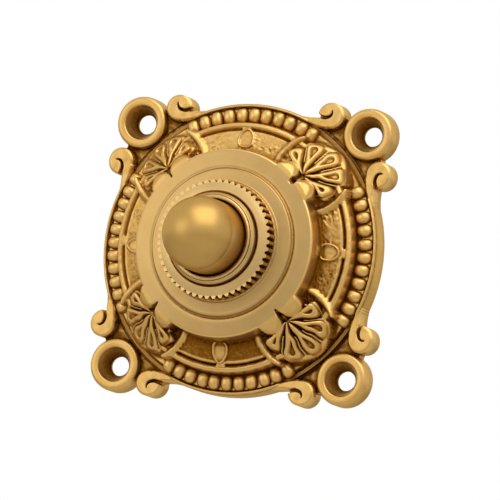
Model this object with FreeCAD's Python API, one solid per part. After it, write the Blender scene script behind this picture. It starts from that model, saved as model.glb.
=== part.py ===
"""Cast brass doorbell push with a domed press, a milled ring and a spring-leaf contact behind it.

Millimetres. +X is right, +Z is up and the front looks along -Y. The origin lies on the wall plane,
at the middle of the four screw holes. A height is a distance out of the wall, so it is -Y.
"""
import FreeCAD, Part
import math
import os

V = FreeCAD.Vector
OUT = "parts"

# Common allowances
past = 1.0                      # how far a cutter runs past a face
bond = 0.5                      # how deep one cast form is rooted in the next
draft = 0.1                     # sideways lean of a cast wall
soft_edge = 0.4
fine_edge = 0.25
fit = 0.03                      # fixed fits: pressed pins, screws in their holes
stop_gap = 0.08                 # left at either end of the travel
loose = 0.1                     # clearance hole round a screw
arc_share = 0.49                # most of an edge that the arc at its corner may take
touching = 1e-6                 # shortest edge that is drawn

# Press button, turned from bar
button_radius = 8.05
button_top = 35.0
travel = 2.4
button_flange = 0.75            # how far its retaining flange stands proud of the bullet
button_wall = 1.45              # wall round the spring pocket
pocket_roof = 21.0
guide_clearance = 0.07          # running fit of the button in the barrel
flange_clearance = 0.20

# Barrel, the threaded sleeve that carries the button
collar_top = 21.8
mouth_gap = 0.45                # shadow gap round the button at the mouth
mouth_depth = 1.2
mouth_chamfer = 0.4
collar_slope = 0.65             # radial width of the collar's rounded shoulder
collar_round = 0.5
barrel_wall = 1.0
barrel_flange = 2.6
barrel_flange_thick = 1.6
shoulder = 15.6                 # the button's flange rests under this
seat_thick = 1.0
lip = 0.4                       # rear lip that is turned over the spring seat
leaf_room = 0.35                # room left between the leaf's end and the barrel
washer_thick = 0.4
thread_clearance = 0.05

# Milled ring
ring_width = 3.0
ring_rim = 19.4                 # top of its toothed edge
ring_face = 19.9                # where its face meets the groove round the barrel
ring_chamfer = 0.5
tooth_count = 52
tooth_depth = 0.5
tooth_fill = 0.92               # share of the pitch that a notch takes at its mouth
tooth_edge = 0.15

# Casting, from the boss outwards
boss_face = 16.2
step_width = 3.25
step_height = 15.0
step_drop = 0.6
brim_width = 4.3                # from the step to the outer edge of the brim
brim_height = 13.9
brim_lean = 0.3
panel_inner = 9.3
panel_outer = 8.3
panel_width = 4.5
groove_width = 0.8
groove_depth = 0.8
moulding_width = 1.5
moulding_height = 8.2
channel_width = 3.3
channel_height = 4.4
edge_groove = 0.35
edge_groove_depth = 0.7
lip_width = 0.75
rim_height = 5.3
bore_clearance = 0.20

# Hollow back
rim_wall = 2.9
roof = 11.4
roof_seat = 13.0                # machined seat round the bore
seat_margin = 0.6               # seat beyond the barrel's flange
boss_wall = 2.6
panel_wall = 2.4
moulding_wall = 1.4
channel_wall = 2.2
hollow_lean = 1.0               # slope of the hollow's outer step
hollow_round = 0.5
roof_round = 1.0

# Beads, four arcs of them
beads_per_arc = 11
bead_pitch = 5.7                # degrees
bead_radius = 1.42

# Shells on the diagonals
shell_bed = 6.3
shell_bed_sink = 1.0            # depth of the ground between the petals
shell_head = 12.9               # height where the petals meet
shell_waist = 9.6               # height over the moulding
shell_foot = 6.4                # height at the outer edge of the bead channel
shell_margin = 0.05             # shell's edge inside the channel's
ribbon_width = 1.4
ribbon_height = 0.9
petal_root = 0.9                # where the petals spring from, past the brim
petal_start = 0.9
petal_point = 0.12              # least half width of a petal's hollow
petal_angles = (-76, -38, 0, 38, 76)
petal_lengths = (5.8, 7.4, 8.1, 7.4, 5.8)
petal_spread = 16.5             # half angle of one petal
petal_bulge = 0.5               # rise of its blunt end over the half width there
petal_hollow = 0.7
petal_line = 0.45               # width of the raised line round a petal
lobe_radius = 2.5
lobe_angle = 8.0
lobe_slope = 0.62
lobe_drop = 0.1                 # lobes below the brim's edge
notch_depth = 1.5
notch_width = 1.5
notch_floor = 1.4               # over the panel's inner edge

# Pointed arches in the panels
arch_width = 3.6                # at the brim
arch_reach = 4.5                # from the brim to its point
arch_fullness = 0.72            # share of the width left halfway out
arch_line = 0.5
arch_height = 0.45

# Corners
hole_spacing = 53.1
hole_radius = 2.13
hole_land = 1.2
lug_radius = 5.7
lug_height = 4.4
lug_round = 1.5
cup_radius = 4.15
cup_step = 0.75                 # rise of the cup's floor beside the hole
cup_wall = 0.7                  # height of the cup's upper wall
cup_round = 0.7
cup_flare = 0.25
scroll_radius = 3.05
scroll_height = 4.9
scroll_angle = 30.3             # degrees from the nearest axis
scroll_gap = 0.45
scroll_eye = 1.5                # radius to the middle of the groove round its ball
scroll_eye_in = 1.3             # ball's middle, from the scroll's towards the axis
scroll_eye_out = 0.7            # ball's middle, from the scroll's away from the boss
scroll_groove = 0.7
scroll_groove_depth = 1.6
tail_angle = 21.0
tail_turn = 125                 # degrees from the scroll's own radius to the tail's outer edge
tail_drop = 0.3                 # tail below the scroll's face
tail_depth = 1.2                # how deep the tail is rooted in the rim
tail_share = 0.55
web_height = 2.8
web_reach = 0.9                 # web beyond the middles of its scroll and its lug

# Contact block
block_edge = 0.4
block_clearance = 0.55          # round the block, inside the boss
base_back = 4.4
base_thick = 3.0
well_margin = 0.5               # between the well and the contact point
well_depth = 2.0
post_radius = 2.65
post_margin = 2.0               # screw middles inside the block's edge
terminal_margin = 3.9           # terminal middles inside the block's edge
rivet_pitch = 3.8               # from a terminal to its rivet
leaf_width = 5.0
leaf_thick = 0.3
leaf_flat = 3.1                 # flat part of the leaf past its rivet
leaf_rise = 1.95
leaf_corner = 1.5
strip_corner = 0.8
strip_thick = 0.4
point_pitch = 2.3               # from the rivet to the contact point
point_margin = 0.5              # leaf's end past the contact point
point_radius = 0.9
point_height = 0.5
point_shank = 0.5
point_shank_length = 0.9
dimple_radius = 0.6
dimple_sink = 0.18
rivet_radius = 0.75
rivet_head = 1.1
rivet_head_thick = 0.5
head_edge = 0.3

# Stem, spring and screws
stem_radius = 2.0
stem_grip = 4.0                 # length pressed into the button
tip_spigot = 1.0
tip_spigot_length = 2.0
tip_length = 1.5
spring_wire = 0.9
spring_clearance = 0.55         # round the spring, in its pocket
spring_turns = 5.5
spring_flats = 8                # flats that stand for the wire's round section
terminal_radius = 1.25
terminal_head = 2.4
terminal_head_thick = 1.4
terminal_washer = 2.6
terminal_washer_thick = 0.5
nut_flats = 4.4
nut_thick = 1.6
screw_proud = 0.4               # terminal screw beyond its nut
screw_radius = 1.25
screw_head = 2.0
screw_head_thick = 1.4
screw_length = 7.0
blind_depth = 0.6               # blind hole beyond its screw, and wall beyond that hole
slot_width = 0.6
slot_depth = 0.6

# Radii that follow, from the button outwards
guide_radius = button_radius + guide_clearance
flange_radius = button_radius + button_flange
chamber_radius = flange_radius + flange_clearance
pocket_radius = button_radius - button_wall
spring_radius = pocket_radius - spring_clearance - spring_wire / 2
barrel_radius = chamber_radius + barrel_wall
barrel_flange_radius = barrel_radius + barrel_flange
ring_radius = barrel_radius + ring_width
step_radius = ring_radius + step_width
boss_radius = step_radius + brim_width
groove_inner = boss_radius + panel_width
moulding_inner = groove_inner + groove_width
moulding_outer = moulding_inner + moulding_width
channel_outer = moulding_outer + channel_width
lip_inner = channel_outer + edge_groove
rim_radius = lip_inner + lip_width
bead_ring = (moulding_outer + channel_outer) / 2 + draft
scroll_ring = rim_radius + scroll_radius + scroll_gap
casting_bore = barrel_radius + bore_clearance
inner_boss = boss_radius - boss_wall
base_radius = inner_boss - block_clearance
post_offset = base_radius - post_margin
terminal_offset = base_radius - terminal_margin
rivet_offset = terminal_offset - rivet_pitch
leaf_bend = rivet_offset - leaf_flat
point_offset = rivet_offset - point_pitch
leaf_end = point_offset + point_margin
well_radius = point_offset - point_radius - well_margin
panel_fall = (panel_inner - panel_outer) / panel_width

# Heights that follow, from the wall outwards
base_front = base_back + base_thick
leaf_slope = leaf_rise / (leaf_bend + leaf_end)
leaf_under_tip = base_front + leaf_slope * (leaf_bend + stem_radius) + leaf_thick
tip_end = leaf_under_tip + stop_gap
barrel_rear = base_front + leaf_rise + leaf_thick + leaf_room
seat_back = barrel_rear + lip
seat_front = seat_back + seat_thick
flange_back = seat_front + travel + stop_gap
flange_front = shoulder - stop_gap
dome_centre = button_top - button_radius
hole_at = hole_spacing / 2


def lathe(points, centre=(0, 0)):
    """Turned solid from (radius, height) corners, or (radius, height, rounding)."""
    corners = [V(p[0], -p[1], 0) for p in points]
    rounding = [p[2] if len(p) > 2 else 0 for p in points]
    face = Part.Face(rounded_wire(corners, rounding))
    solid = face.revolve(V(0, 0, 0), V(0, 1, 0), 360)
    if solid.Volume < 0:
        solid.reverse()
    solid.translate(V(centre[0], 0, centre[1]))
    return solid


def rounded_wire(corners, rounding):
    """Closed wire through the corners, each with its own tangent arc."""
    count = len(corners)
    runs, arcs = [], []
    for i, here in enumerate(corners):
        back, ahead = corners[i - 1], corners[(i + 1) % count]
        if not rounding[i]:
            runs.append((here, here))
            arcs.append(None)
            continue
        to_back, to_ahead = (back - here).normalize(), (ahead - here).normalize()
        half = to_back.getAngle(to_ahead) / 2
        room = arc_share * min((back - here).Length, (ahead - here).Length)
        reach = min(rounding[i] / math.tan(half), room)
        radius = reach * math.tan(half)
        start, end = here + to_back * reach, here + to_ahead * reach
        bisector = (to_back + to_ahead).normalize()
        middle = here + bisector * (radius / math.sin(half) - radius)
        runs.append((start, end))
        arcs.append((start, middle, end))
    edges = []
    for i in range(count):
        if arcs[i]:
            edges.append(Part.Arc(*arcs[i]).toShape())
        leave, reach_next = runs[i][1], runs[(i + 1) % count][0]
        if (leave - reach_next).Length > touching:
            edges.append(Part.LineSegment(leave, reach_next).toShape())
    return Part.Wire(edges)


def plate(wire, low, high):
    """Straight-sided solid on a closed wire drawn in x and z, between two heights."""
    flat = Part.Face(wire)
    flat.translate(V(0, -low, 0))
    solid = flat.extrude(V(0, low - high, 0))
    if solid.Volume < 0:
        solid.reverse()
    return solid


def outline(points, rounding=0.0):
    """Closed wire in x and z through (x, z) points, all corners rounded alike."""
    return rounded_wire([V(x, 0, z) for x, z in points], [rounding] * len(points))


def disc(x, z, radius, low, high):
    """Round solid standing out of the wall between two heights."""
    return Part.makeCylinder(radius, high - low, V(x, -low, z), V(0, -1, 0))


def polar(radius, degrees):
    """Point at a radius and an angle, turned from +X towards +Z."""
    turn = math.radians(degrees)
    return radius * math.cos(turn), radius * math.sin(turn)


def turned(shape, degrees):
    """Copy turned about the axis of the boss, from +X towards +Z."""
    copy = shape.copy()
    copy.rotate(V(0, 0, 0), V(0, -1, 0), degrees)
    return copy


def four_corners(shape):
    """The shape of the upper right quarter with its three mirror images."""
    across = shape.mirror(V(0, 0, 0), V(1, 0, 0))
    return [s for one in (shape, across) for s in (one, one.mirror(V(0, 0, 0), V(0, 0, 1)))]


def save(name, shape):
    """Write one piece as its own STEP file."""
    solids = shape.Solids
    kept = solids[0] if len(solids) == 1 else Part.makeCompound(solids)
    kept.exportStep(os.path.join(OUT, name + ".step"))
    print(f"{name}: {len(solids)} solid, {kept.Volume:.1f} mm3, valid {kept.isValid()}")


def front_profile():
    """Front of the casting, from the bore out to the rim."""
    groove_floor = panel_outer - groove_depth
    edge_floor = channel_height - edge_groove_depth
    return [
        (casting_bore, 0), (casting_bore, boss_face), (ring_radius, boss_face, soft_edge),
        (step_radius, step_height, fine_edge), (step_radius, step_height - step_drop),
        (boss_radius - brim_lean, brim_height, soft_edge), (boss_radius, panel_inner),
        (groove_inner, panel_outer), (groove_inner + draft, groove_floor),
        (moulding_inner, groove_floor), (moulding_inner + draft, moulding_height, soft_edge),
        (moulding_outer - draft, moulding_height, soft_edge), (moulding_outer, channel_height),
        (channel_outer, channel_height), (channel_outer + draft, edge_floor),
        (lip_inner, edge_floor), (lip_inner + draft, rim_height, fine_edge),
        (rim_radius, rim_height, soft_edge), (rim_radius, 0),
    ]


def hollow_profile():
    """Hollow of the casting, open at the wall."""
    seat = barrel_flange_radius + seat_margin
    step_inner = moulding_inner - moulding_wall
    return [
        (0, -past), (rim_radius - rim_wall, -past),
        (rim_radius - rim_wall, channel_height - channel_wall, hollow_round),
        (step_inner + hollow_lean, channel_height - channel_wall, hollow_round),
        (step_inner, panel_outer - panel_wall, hollow_round),
        (inner_boss, panel_inner - panel_wall), (inner_boss, roof, roof_round),
        (seat, roof), (seat, roof_seat), (0, roof_seat),
    ]


def shell_slope(sink, inner, outer):
    """Fall of a shell from its head to its foot, at some depth under its lines, as (radius, height)."""
    waist = (moulding_inner + moulding_outer) / 2
    foot_fall = (shell_waist - shell_foot) / (channel_outer - waist)
    return [(inner, shell_head - sink), (boss_radius, shell_head - sink), (waist, shell_waist - sink),
            (outer, shell_waist - sink - foot_fall * (outer - waist))]


def petal(length, inset, low, high, direction):
    """One wedge-shaped petal, or its hollow, pointing from the shell's root."""
    spread = math.tan(math.radians(petal_spread))
    start = max(petal_start, (inset + petal_point) / spread)
    end = length - inset
    half_start, half_end = start * spread - inset, (end * spread - inset) / (1 + petal_bulge * spread)
    widest = end - petal_bulge * half_end
    near, far = (V(start, 0, side * half_start) for side in (-1, 1))
    right, left = (V(widest, 0, side * half_end) for side in (-1, 1))
    wire = Part.Wire([Part.LineSegment(near, right).toShape(),
                      Part.Arc(right, V(end, 0, 0), left).toShape(),
                      Part.LineSegment(left, far).toShape(), Part.LineSegment(far, near).toShape()])
    wire = turned(wire, direction)
    wire.translate(V(boss_radius + petal_root, 0, 0))
    return plate(wire, low, high)


def shell():
    """Shell on one diagonal, drawn on +X: bed and petals as one solid, and the ribbon round them."""
    middle = channel_outer - shell_bed - shell_margin
    low = channel_height - bond
    span = (boss_radius - notch_depth, middle + shell_bed + ribbon_width)
    top, surface = shell_slope(0, *span), shell_slope(shell_bed_sink, *span)
    under = shell_slope(shell_bed_sink + bond, *span)
    pit, above = shell_slope(petal_hollow, *span), shell_slope(-past, *span)
    bed = disc(middle, 0, shell_bed, low, brim_height).common(
        lathe([(span[0], low)] + surface + [(span[1], low)]))
    petals = lathe(under + top[::-1]).common(
        [petal(length, 0, low, brim_height, direction)
         for direction, length in zip(petal_angles, petal_lengths)])
    hollows = lathe(pit + above[::-1]).common(
        [petal(length, petal_line, low, brim_height + past, direction)
         for direction, length in zip(petal_angles, petal_lengths)])
    fan = bed.fuse(petals.cut(hollows).Solids)
    ring_out = disc(middle, 0, shell_bed + ribbon_width, low, panel_inner + ribbon_height)
    ring_zone = lathe([(boss_radius - bond, low), (boss_radius - bond, panel_inner + ribbon_height),
                       (moulding_outer, moulding_height + draft), (moulding_outer, low)])
    ribbon = ring_out.common(ring_zone).cut(disc(middle, 0, shell_bed - draft, low, brim_height))
    return fan, ribbon


def brim_lobes():
    """The pair of rounded lobes by which the brim laps over a shell's root."""
    root, reach = boss_radius - lobe_radius, boss_radius + lobe_radius + past
    top = brim_height - lobe_drop
    cap = lathe([(root, panel_inner), (root, top), (boss_radius - brim_lean, top),
                 (reach, top - lobe_slope * (reach - boss_radius)), (reach, panel_inner)])
    discs = [disc(*polar(boss_radius, side * lobe_angle), lobe_radius, panel_inner - bond, brim_height)
             for side in (-1, 1)]
    return [cap.common(one) for one in discs]


def brim_notch():
    """Pointed notch between two lobes."""
    tip = boss_radius - notch_depth
    mouth = boss_radius + lobe_radius + bond
    half = notch_width / 2
    points = [(tip, 0), (boss_radius, half), (mouth, half), (mouth, -half), (boss_radius, -half)]
    return plate(outline(points), panel_inner + notch_floor, brim_height + past)


def bead_arc():
    """Beads of one side, centred on +X."""
    first = -(beads_per_arc - 1) / 2 * bead_pitch
    beads = []
    for i in range(beads_per_arc):
        x, z = polar(bead_ring, first + i * bead_pitch)
        beads.append(Part.makeSphere(bead_radius, V(x, -channel_height, z)))
    return beads


def arch():
    """Raised line of a pointed arch in the middle of a panel, on +X, its foot at the brim."""

    def within(inset):
        start, end = boss_radius - bond + inset, boss_radius + arch_reach - 2 * inset
        half = arch_width / 2 - inset
        middle = (boss_radius + end) / 2
        foot = [V(start, 0, side * half) for side in (-1, 1)]
        belly = [V(middle, 0, side * half * arch_fullness) for side in (-1, 1)]
        point = V(end, 0, 0)
        return Part.Wire([Part.Arc(foot[0], belly[0], point).toShape(),
                          Part.Arc(point, belly[1], foot[1]).toShape(),
                          Part.LineSegment(foot[1], foot[0]).toShape()])

    low = panel_outer - groove_depth - bond
    high = panel_inner + arch_height
    line = plate(within(0), low, high + past).cut(plate(within(arch_line), low - past, high + 2 * past))
    inner, outer = boss_radius - past, boss_radius + arch_reach + past
    top = lathe([(inner, low), (inner, high + panel_fall * past),
                 (outer, high - panel_fall * (outer - boss_radius)), (outer, low)])
    return line.common(top)


def lug():
    """Screw lug of the upper right corner, before its hole."""
    return lathe([(0, 0), (0, lug_height), (lug_radius, lug_height, lug_round), (lug_radius, 0)],
                 (hole_at, hole_at))


def lug_hole():
    """Screw hole of one lug, with its dished countersink."""
    bend = (hole_radius + cup_radius) / 2 + cup_flare
    mouth = cup_radius + cup_flare
    return lathe([(0, -past), (hole_radius, -past), (hole_radius, hole_land, fine_edge),
                  (bend, hole_land + cup_step, cup_round),
                  (cup_radius - draft, lug_height - cup_wall, cup_round),
                  (mouth, lug_height), (mouth, lug_height + past), (0, lug_height + past)],
                 (hole_at, hole_at))


def scroll():
    """Volute beside one lug, drawn for the side nearest +Z in the upper right quarter."""
    away = 90 - scroll_angle
    x, z = polar(scroll_ring, away)
    head = lathe([(0, 0), (0, scroll_height), (scroll_radius, scroll_height, soft_edge),
                  (scroll_radius, 0)], (x, z))
    edge = polar(scroll_radius * tail_share, away + tail_turn)
    tail_points = [polar(rim_radius - soft_edge, 90 - tail_angle), polar(rim_radius - tail_depth, away),
                   (x, z), (x + edge[0], z + edge[1])]
    tail = plate(outline(tail_points), 0, scroll_height - tail_drop)
    eye_x, eye_z = x - scroll_eye_in, z + scroll_eye_out
    low, high = scroll_height - scroll_groove_depth, scroll_height + past
    ring = disc(eye_x, eye_z, scroll_eye + scroll_groove / 2, low, high).cut(
        disc(eye_x, eye_z, scroll_eye - scroll_groove / 2, low - past, high + past))
    wide = 3 * scroll_radius
    hook = plate(outline([(eye_x, eye_z), (eye_x - wide, eye_z - wide / 3), (eye_x, eye_z - wide),
                          (eye_x + wide, eye_z - wide / 2), (eye_x + wide, eye_z + wide / 4)]), low, high)
    return head, tail, ring.common(hook)


def web():
    """Low web that joins a lug, its two scrolls and the rim in the upper right quarter."""
    x, z = polar(scroll_ring, 90 - scroll_angle)
    root = rim_radius - lip_width - past
    points = [polar(root, 90 - scroll_angle), (x, z), (x + web_reach, z + web_reach),
              (hole_at, hole_at + 2 * web_reach), (hole_at + 2 * web_reach, hole_at),
              (z + web_reach, x + web_reach), (z, x), polar(root, scroll_angle)]
    return plate(outline(points), 0, web_height)


def swapped(shape):
    """The same form on the other side of the upper right diagonal."""
    return shape.mirror(V(0, 0, 0), V(-1, 0, 1).normalize())


def escutcheon():
    """The whole casting: boss, brim, panels, beads, shells, scrolls and screw lugs."""
    body = lathe(front_profile())
    head, tail, groove = scroll()
    corner = [lug(), web(), head, tail, swapped(head), swapped(tail)]
    added = [s for piece in corner for s in four_corners(piece)]
    diagonal = [*shell(), *brim_lobes()]
    side = [arch(), *bead_arc()]
    for quarter in range(4):
        added += [turned(s, 90 * quarter + 45) for s in diagonal]
        added += [turned(s, 90 * quarter) for s in side]
    body = body.fuse(added)
    hollow = lathe(hollow_profile())
    for side in (-1, 1):
        hollow = hollow.cut(disc(0, side * post_offset, post_radius, base_front, roof + bond))
    tools = [hollow] + [turned(brim_notch(), 90 * quarter + 45) for quarter in range(4)]
    for tool in (lug_hole(), groove, swapped(groove)):
        tools += four_corners(tool)
    tools += [disc(0, side * post_offset, screw_radius + fit, 0, base_back + screw_length + blind_depth)
              for side in (-1, 1)]
    tools.append(disc(0, 0, casting_bore, -past, boss_face + past))
    return body.cut(tools)


def barrel():
    """Threaded sleeve that holds the button, with its clamping flange behind the boss."""
    flange_top = roof_seat - washer_thick
    flange_low = flange_top - barrel_flange_thick
    mouth = button_radius + mouth_gap
    return lathe([
        (chamber_radius - lip, barrel_rear), (barrel_radius, barrel_rear), (barrel_radius, flange_low),
        (barrel_flange_radius, flange_low), (barrel_flange_radius, flange_top),
        (barrel_radius, flange_top), (barrel_radius, ring_face + bond),
        (barrel_radius - collar_slope, collar_top, collar_round), (mouth, collar_top),
        (mouth, collar_top - mouth_depth), (guide_radius, collar_top - mouth_depth - mouth_chamfer),
        (guide_radius, shoulder), (chamber_radius, shoulder), (chamber_radius, seat_back),
        (chamber_radius - lip, seat_back)])


def knurled_ring():
    """Milled ring that screws on the barrel and clamps it to the boss."""
    bore = barrel_radius + thread_clearance
    body = lathe([(bore, boss_face), (ring_radius, boss_face), (ring_radius, ring_rim, tooth_edge),
                  (bore + ring_chamfer, ring_face), (bore, ring_face - ring_chamfer)])
    pitch = 360 / tooth_count
    half = math.radians(pitch) * ring_radius * tooth_fill / 2
    outside = ring_radius + fine_edge
    notch = plate(outline([(ring_radius - tooth_depth, 0), (outside, half), (outside, -half)]),
                  boss_face - past, ring_face + past)
    return body.cut([turned(notch, i * pitch) for i in range(tooth_count)])


def push_button():
    """Bullet-shaped press with a retaining flange and a pocket for the spring."""
    grip = stem_radius + fit
    corners = [V(grip, -pocket_roof, 0), V(grip, -(pocket_roof + stem_grip), 0),
               V(0, -(pocket_roof + stem_grip), 0), V(0, -button_top, 0)]
    across, out = polar(button_radius, 45)
    middle = V(across, -(dome_centre + out), 0)
    side = V(button_radius, -dome_centre, 0)
    rest = [side, V(button_radius, -flange_front, 0), V(flange_radius, -flange_front, 0),
            V(flange_radius, -flange_back, 0), V(pocket_radius, -flange_back, 0),
            V(pocket_radius, -pocket_roof, 0)]
    edges = [Part.LineSegment(a, b).toShape() for a, b in zip(corners, corners[1:])]
    edges.append(Part.Arc(corners[-1], middle, side).toShape())
    edges += [Part.LineSegment(a, b).toShape() for a, b in zip(rest, rest[1:])]
    edges.append(Part.LineSegment(rest[-1], corners[0]).toShape())
    solid = Part.Face(Part.Wire(edges)).revolve(V(0, 0, 0), V(0, 1, 0), 360)
    if solid.Volume < 0:
        solid.reverse()
    return solid


def button_stem():
    """Pin pressed into the button, which carries the push through the spring seat."""
    end = tip_end + tip_length
    top = pocket_roof + stem_grip
    bore = tip_spigot + fit
    return lathe([(0, end + tip_spigot_length), (0, top), (stem_radius, top), (stem_radius, end),
                  (bore, end), (bore, end + tip_spigot_length)])


def stem_tip():
    """Insulating tip in the end of the stem, which meets the spring leaf."""
    end = tip_end + tip_length
    return lathe([(0, tip_end), (stem_radius, tip_end, soft_edge), (stem_radius, end), (tip_spigot, end),
                  (tip_spigot, end + tip_spigot_length), (0, end + tip_spigot_length)])


def spring_seat():
    """Disc closing the barrel behind, held by the turned-over lip."""
    outer, bore = chamber_radius - fit, stem_radius + guide_clearance
    return lathe([(bore, seat_back), (outer, seat_back), (outer, seat_front), (bore, seat_front)])


def return_spring():
    """Coil spring between its seat and the roof of the button's pocket, its wire drawn with flats."""
    wire = spring_wire / 2
    low, high = seat_front + wire, pocket_roof - wire
    helix = Part.makeHelix((high - low) / spring_turns, high - low, spring_radius)
    flats = [polar(wire, (i + 0.5) * 360 / spring_flats) for i in range(spring_flats + 1)]
    section = Part.makePolygon([V(spring_radius + across, 0, along) for across, along in flats])
    coil = Part.Wire(helix.Edges).makePipeShell([section], True, True)
    coil.rotate(V(0, 0, 0), V(1, 0, 0), 90)
    coil.translate(V(0, -low, 0))
    if coil.Volume < 0:
        coil.reverse()
    return coil


def barrel_washer():
    """Thin washer between the barrel's flange and the casting."""
    low = roof_seat - washer_thick
    return lathe([(casting_bore, low), (barrel_flange_radius, low), (barrel_flange_radius, roof_seat),
                  (casting_bore, roof_seat)])


def contact_base():
    """Moulded insulating block that carries the contacts and the terminals."""
    body = lathe([(0, base_back), (base_radius, base_back, block_edge), (base_radius, base_front, block_edge),
                  (well_radius, base_front), (well_radius, base_front - well_depth),
                  (0, base_front - well_depth)])
    holes = []
    for side in (-1, 1):
        holes.append(disc(side * terminal_offset, 0, terminal_radius + fit, 0, base_front + past))
        holes.append(disc(side * rivet_offset, 0, rivet_radius + fit, 0, base_front + past))
        holes.append(disc(0, side * post_offset, screw_radius + loose, 0, base_front + past))
    holes.append(disc(point_offset, 0, point_shank + fit, base_front - point_shank_length - loose,
                      base_front + past))
    return body.cut(holes)


def strip_end():
    """Far end of either contact strip, past its terminal."""
    return terminal_offset + leaf_width / 2


def moving_contact():
    """Springy leaf, riveted at one end and bent up under the stem, with a contact dimple."""
    top = base_front + leaf_thick
    rise = leaf_slope * (leaf_bend + leaf_end)
    side = [(-strip_end(), base_front), (-leaf_bend, base_front), (leaf_end, base_front + rise),
            (leaf_end, top + rise), (-leaf_bend, top), (-strip_end(), top)]
    wire = Part.makePolygon([V(x, -h, -leaf_width / 2) for x, h in side + side[:1]])
    blank = Part.Face(wire).extrude(V(0, 0, leaf_width))
    half = leaf_width / 2
    trim = plate(outline([(-strip_end(), -half), (leaf_end, -half), (leaf_end, half),
                          (-strip_end(), half)], leaf_corner), base_front - past, top + rise + past)
    holes = [disc(-terminal_offset, 0, terminal_radius + fit, 0, top + past),
             disc(-rivet_offset, 0, rivet_radius + fit, 0, top + past)]
    at = base_front + leaf_slope * (leaf_bend + point_offset) + dimple_sink
    dimple = Part.makeSphere(dimple_radius, V(point_offset, -at, 0))
    below = disc(point_offset, 0, dimple_radius + past, at - dimple_radius - past, at)
    return blank.common(trim).fuse(dimple.common(below)).cut(holes)


def fixed_contact():
    """Flat strip under the free end of the leaf."""
    inner = point_offset - point_radius
    half = leaf_width / 2
    top = base_front + strip_thick
    wire = outline([(inner, -half), (strip_end(), -half), (strip_end(), half), (inner, half)], strip_corner)
    return plate(wire, base_front, top).cut(
        [disc(terminal_offset, 0, terminal_radius + fit, 0, top + past),
         disc(rivet_offset, 0, rivet_radius + fit, 0, top + past),
         disc(point_offset, 0, point_shank + fit, 0, top + past)])


def contact_point():
    """Silver contact rivet in the fixed strip."""
    top = base_front + strip_thick
    end = base_front - point_shank_length
    return lathe([(0, end), (point_shank, end), (point_shank, top), (point_radius, top),
                  (point_radius, top + point_height, fine_edge), (0, top + point_height)],
                 (point_offset, 0))


def rivet(side, strip):
    """Rivet through the block and one contact strip, headed on both faces."""
    low, high = base_back, base_front + strip
    return lathe([(0, low - rivet_head_thick), (rivet_head, low - rivet_head_thick, head_edge),
                  (rivet_head, low), (rivet_radius, low), (rivet_radius, high), (rivet_head, high),
                  (rivet_head, high + rivet_head_thick, head_edge), (0, high + rivet_head_thick)],
                 (side * rivet_offset, 0))


def slotted_screw(x, z, under_head, head, head_thick, shank, end):
    """Cheese-head screw that faces the wall."""
    low = under_head - head_thick
    body = lathe([(0, low), (head, low, head_edge), (head, under_head), (shank, under_head),
                  (shank, end, head_edge), (0, end)], (x, z))
    half, reach = slot_width / 2, head + past
    slot = outline([(x - reach, z - half), (x + reach, z - half), (x + reach, z + half),
                    (x - reach, z + half)])
    return body.cut(plate(slot, low - past, low + slot_depth))


def terminal_nut(side, strip):
    """Hexagon nut that clamps a contact strip at its terminal."""
    corner = nut_flats / math.sqrt(3)
    x = side * terminal_offset
    points = [(x + px, pz) for px, pz in (polar(corner, 60 * i + 30) for i in range(6))]
    low = base_front + strip
    return plate(outline(points), low, low + nut_thick).cut(
        disc(x, 0, terminal_radius + fit, low - past, low + nut_thick + past))


def main():
    """Write every piece of the bell push."""
    os.makedirs(OUT, exist_ok=True)
    save("escutcheon", escutcheon())
    save("barrel", barrel())
    save("knurled_ring", knurled_ring())
    save("barrel_washer", barrel_washer())
    save("push_button", push_button())
    save("button_stem", button_stem())
    save("stem_tip", stem_tip())
    save("return_spring", return_spring())
    save("spring_seat", spring_seat())
    save("contact_base", contact_base())
    save("moving_contact", moving_contact())
    save("fixed_contact", fixed_contact())
    save("contact_point", contact_point())
    washer_low = base_back - terminal_washer_thick
    for name, side, strip in (("left", -1, leaf_thick), ("right", 1, strip_thick)):
        x = side * terminal_offset
        end = base_front + strip + nut_thick + screw_proud
        save("contact_rivet_" + name, rivet(side, strip))
        save("terminal_screw_" + name, slotted_screw(x, 0, washer_low, terminal_head,
                                                     terminal_head_thick, terminal_radius, end))
        save("terminal_washer_" + name, lathe(
            [(terminal_radius + loose, washer_low), (terminal_washer, washer_low),
             (terminal_washer, base_back), (terminal_radius + loose, base_back)], (x, 0)))
        save("terminal_nut_" + name, terminal_nut(side, strip))
    for name, side in (("lower", -1), ("upper", 1)):
        save("base_screw_" + name, slotted_screw(0, side * post_offset, base_back, screw_head,
                                                 screw_head_thick, screw_radius,
                                                 base_back + screw_length))


main()
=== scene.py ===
"""Looks of an antiqued brass bell push: casting, bead rows, milled ring, press, back and studio.

Heights are distances out of the wall, in millimetres, until a mesh is made. +X is right, +Z is up
and the front looks along -Y, as in the frame.
"""
import logging
import math
from dataclasses import dataclass
from enum import Enum
from typing import Callable, Optional, Sequence

import bpy
import numpy as np
from mathutils import Matrix, Vector


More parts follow.
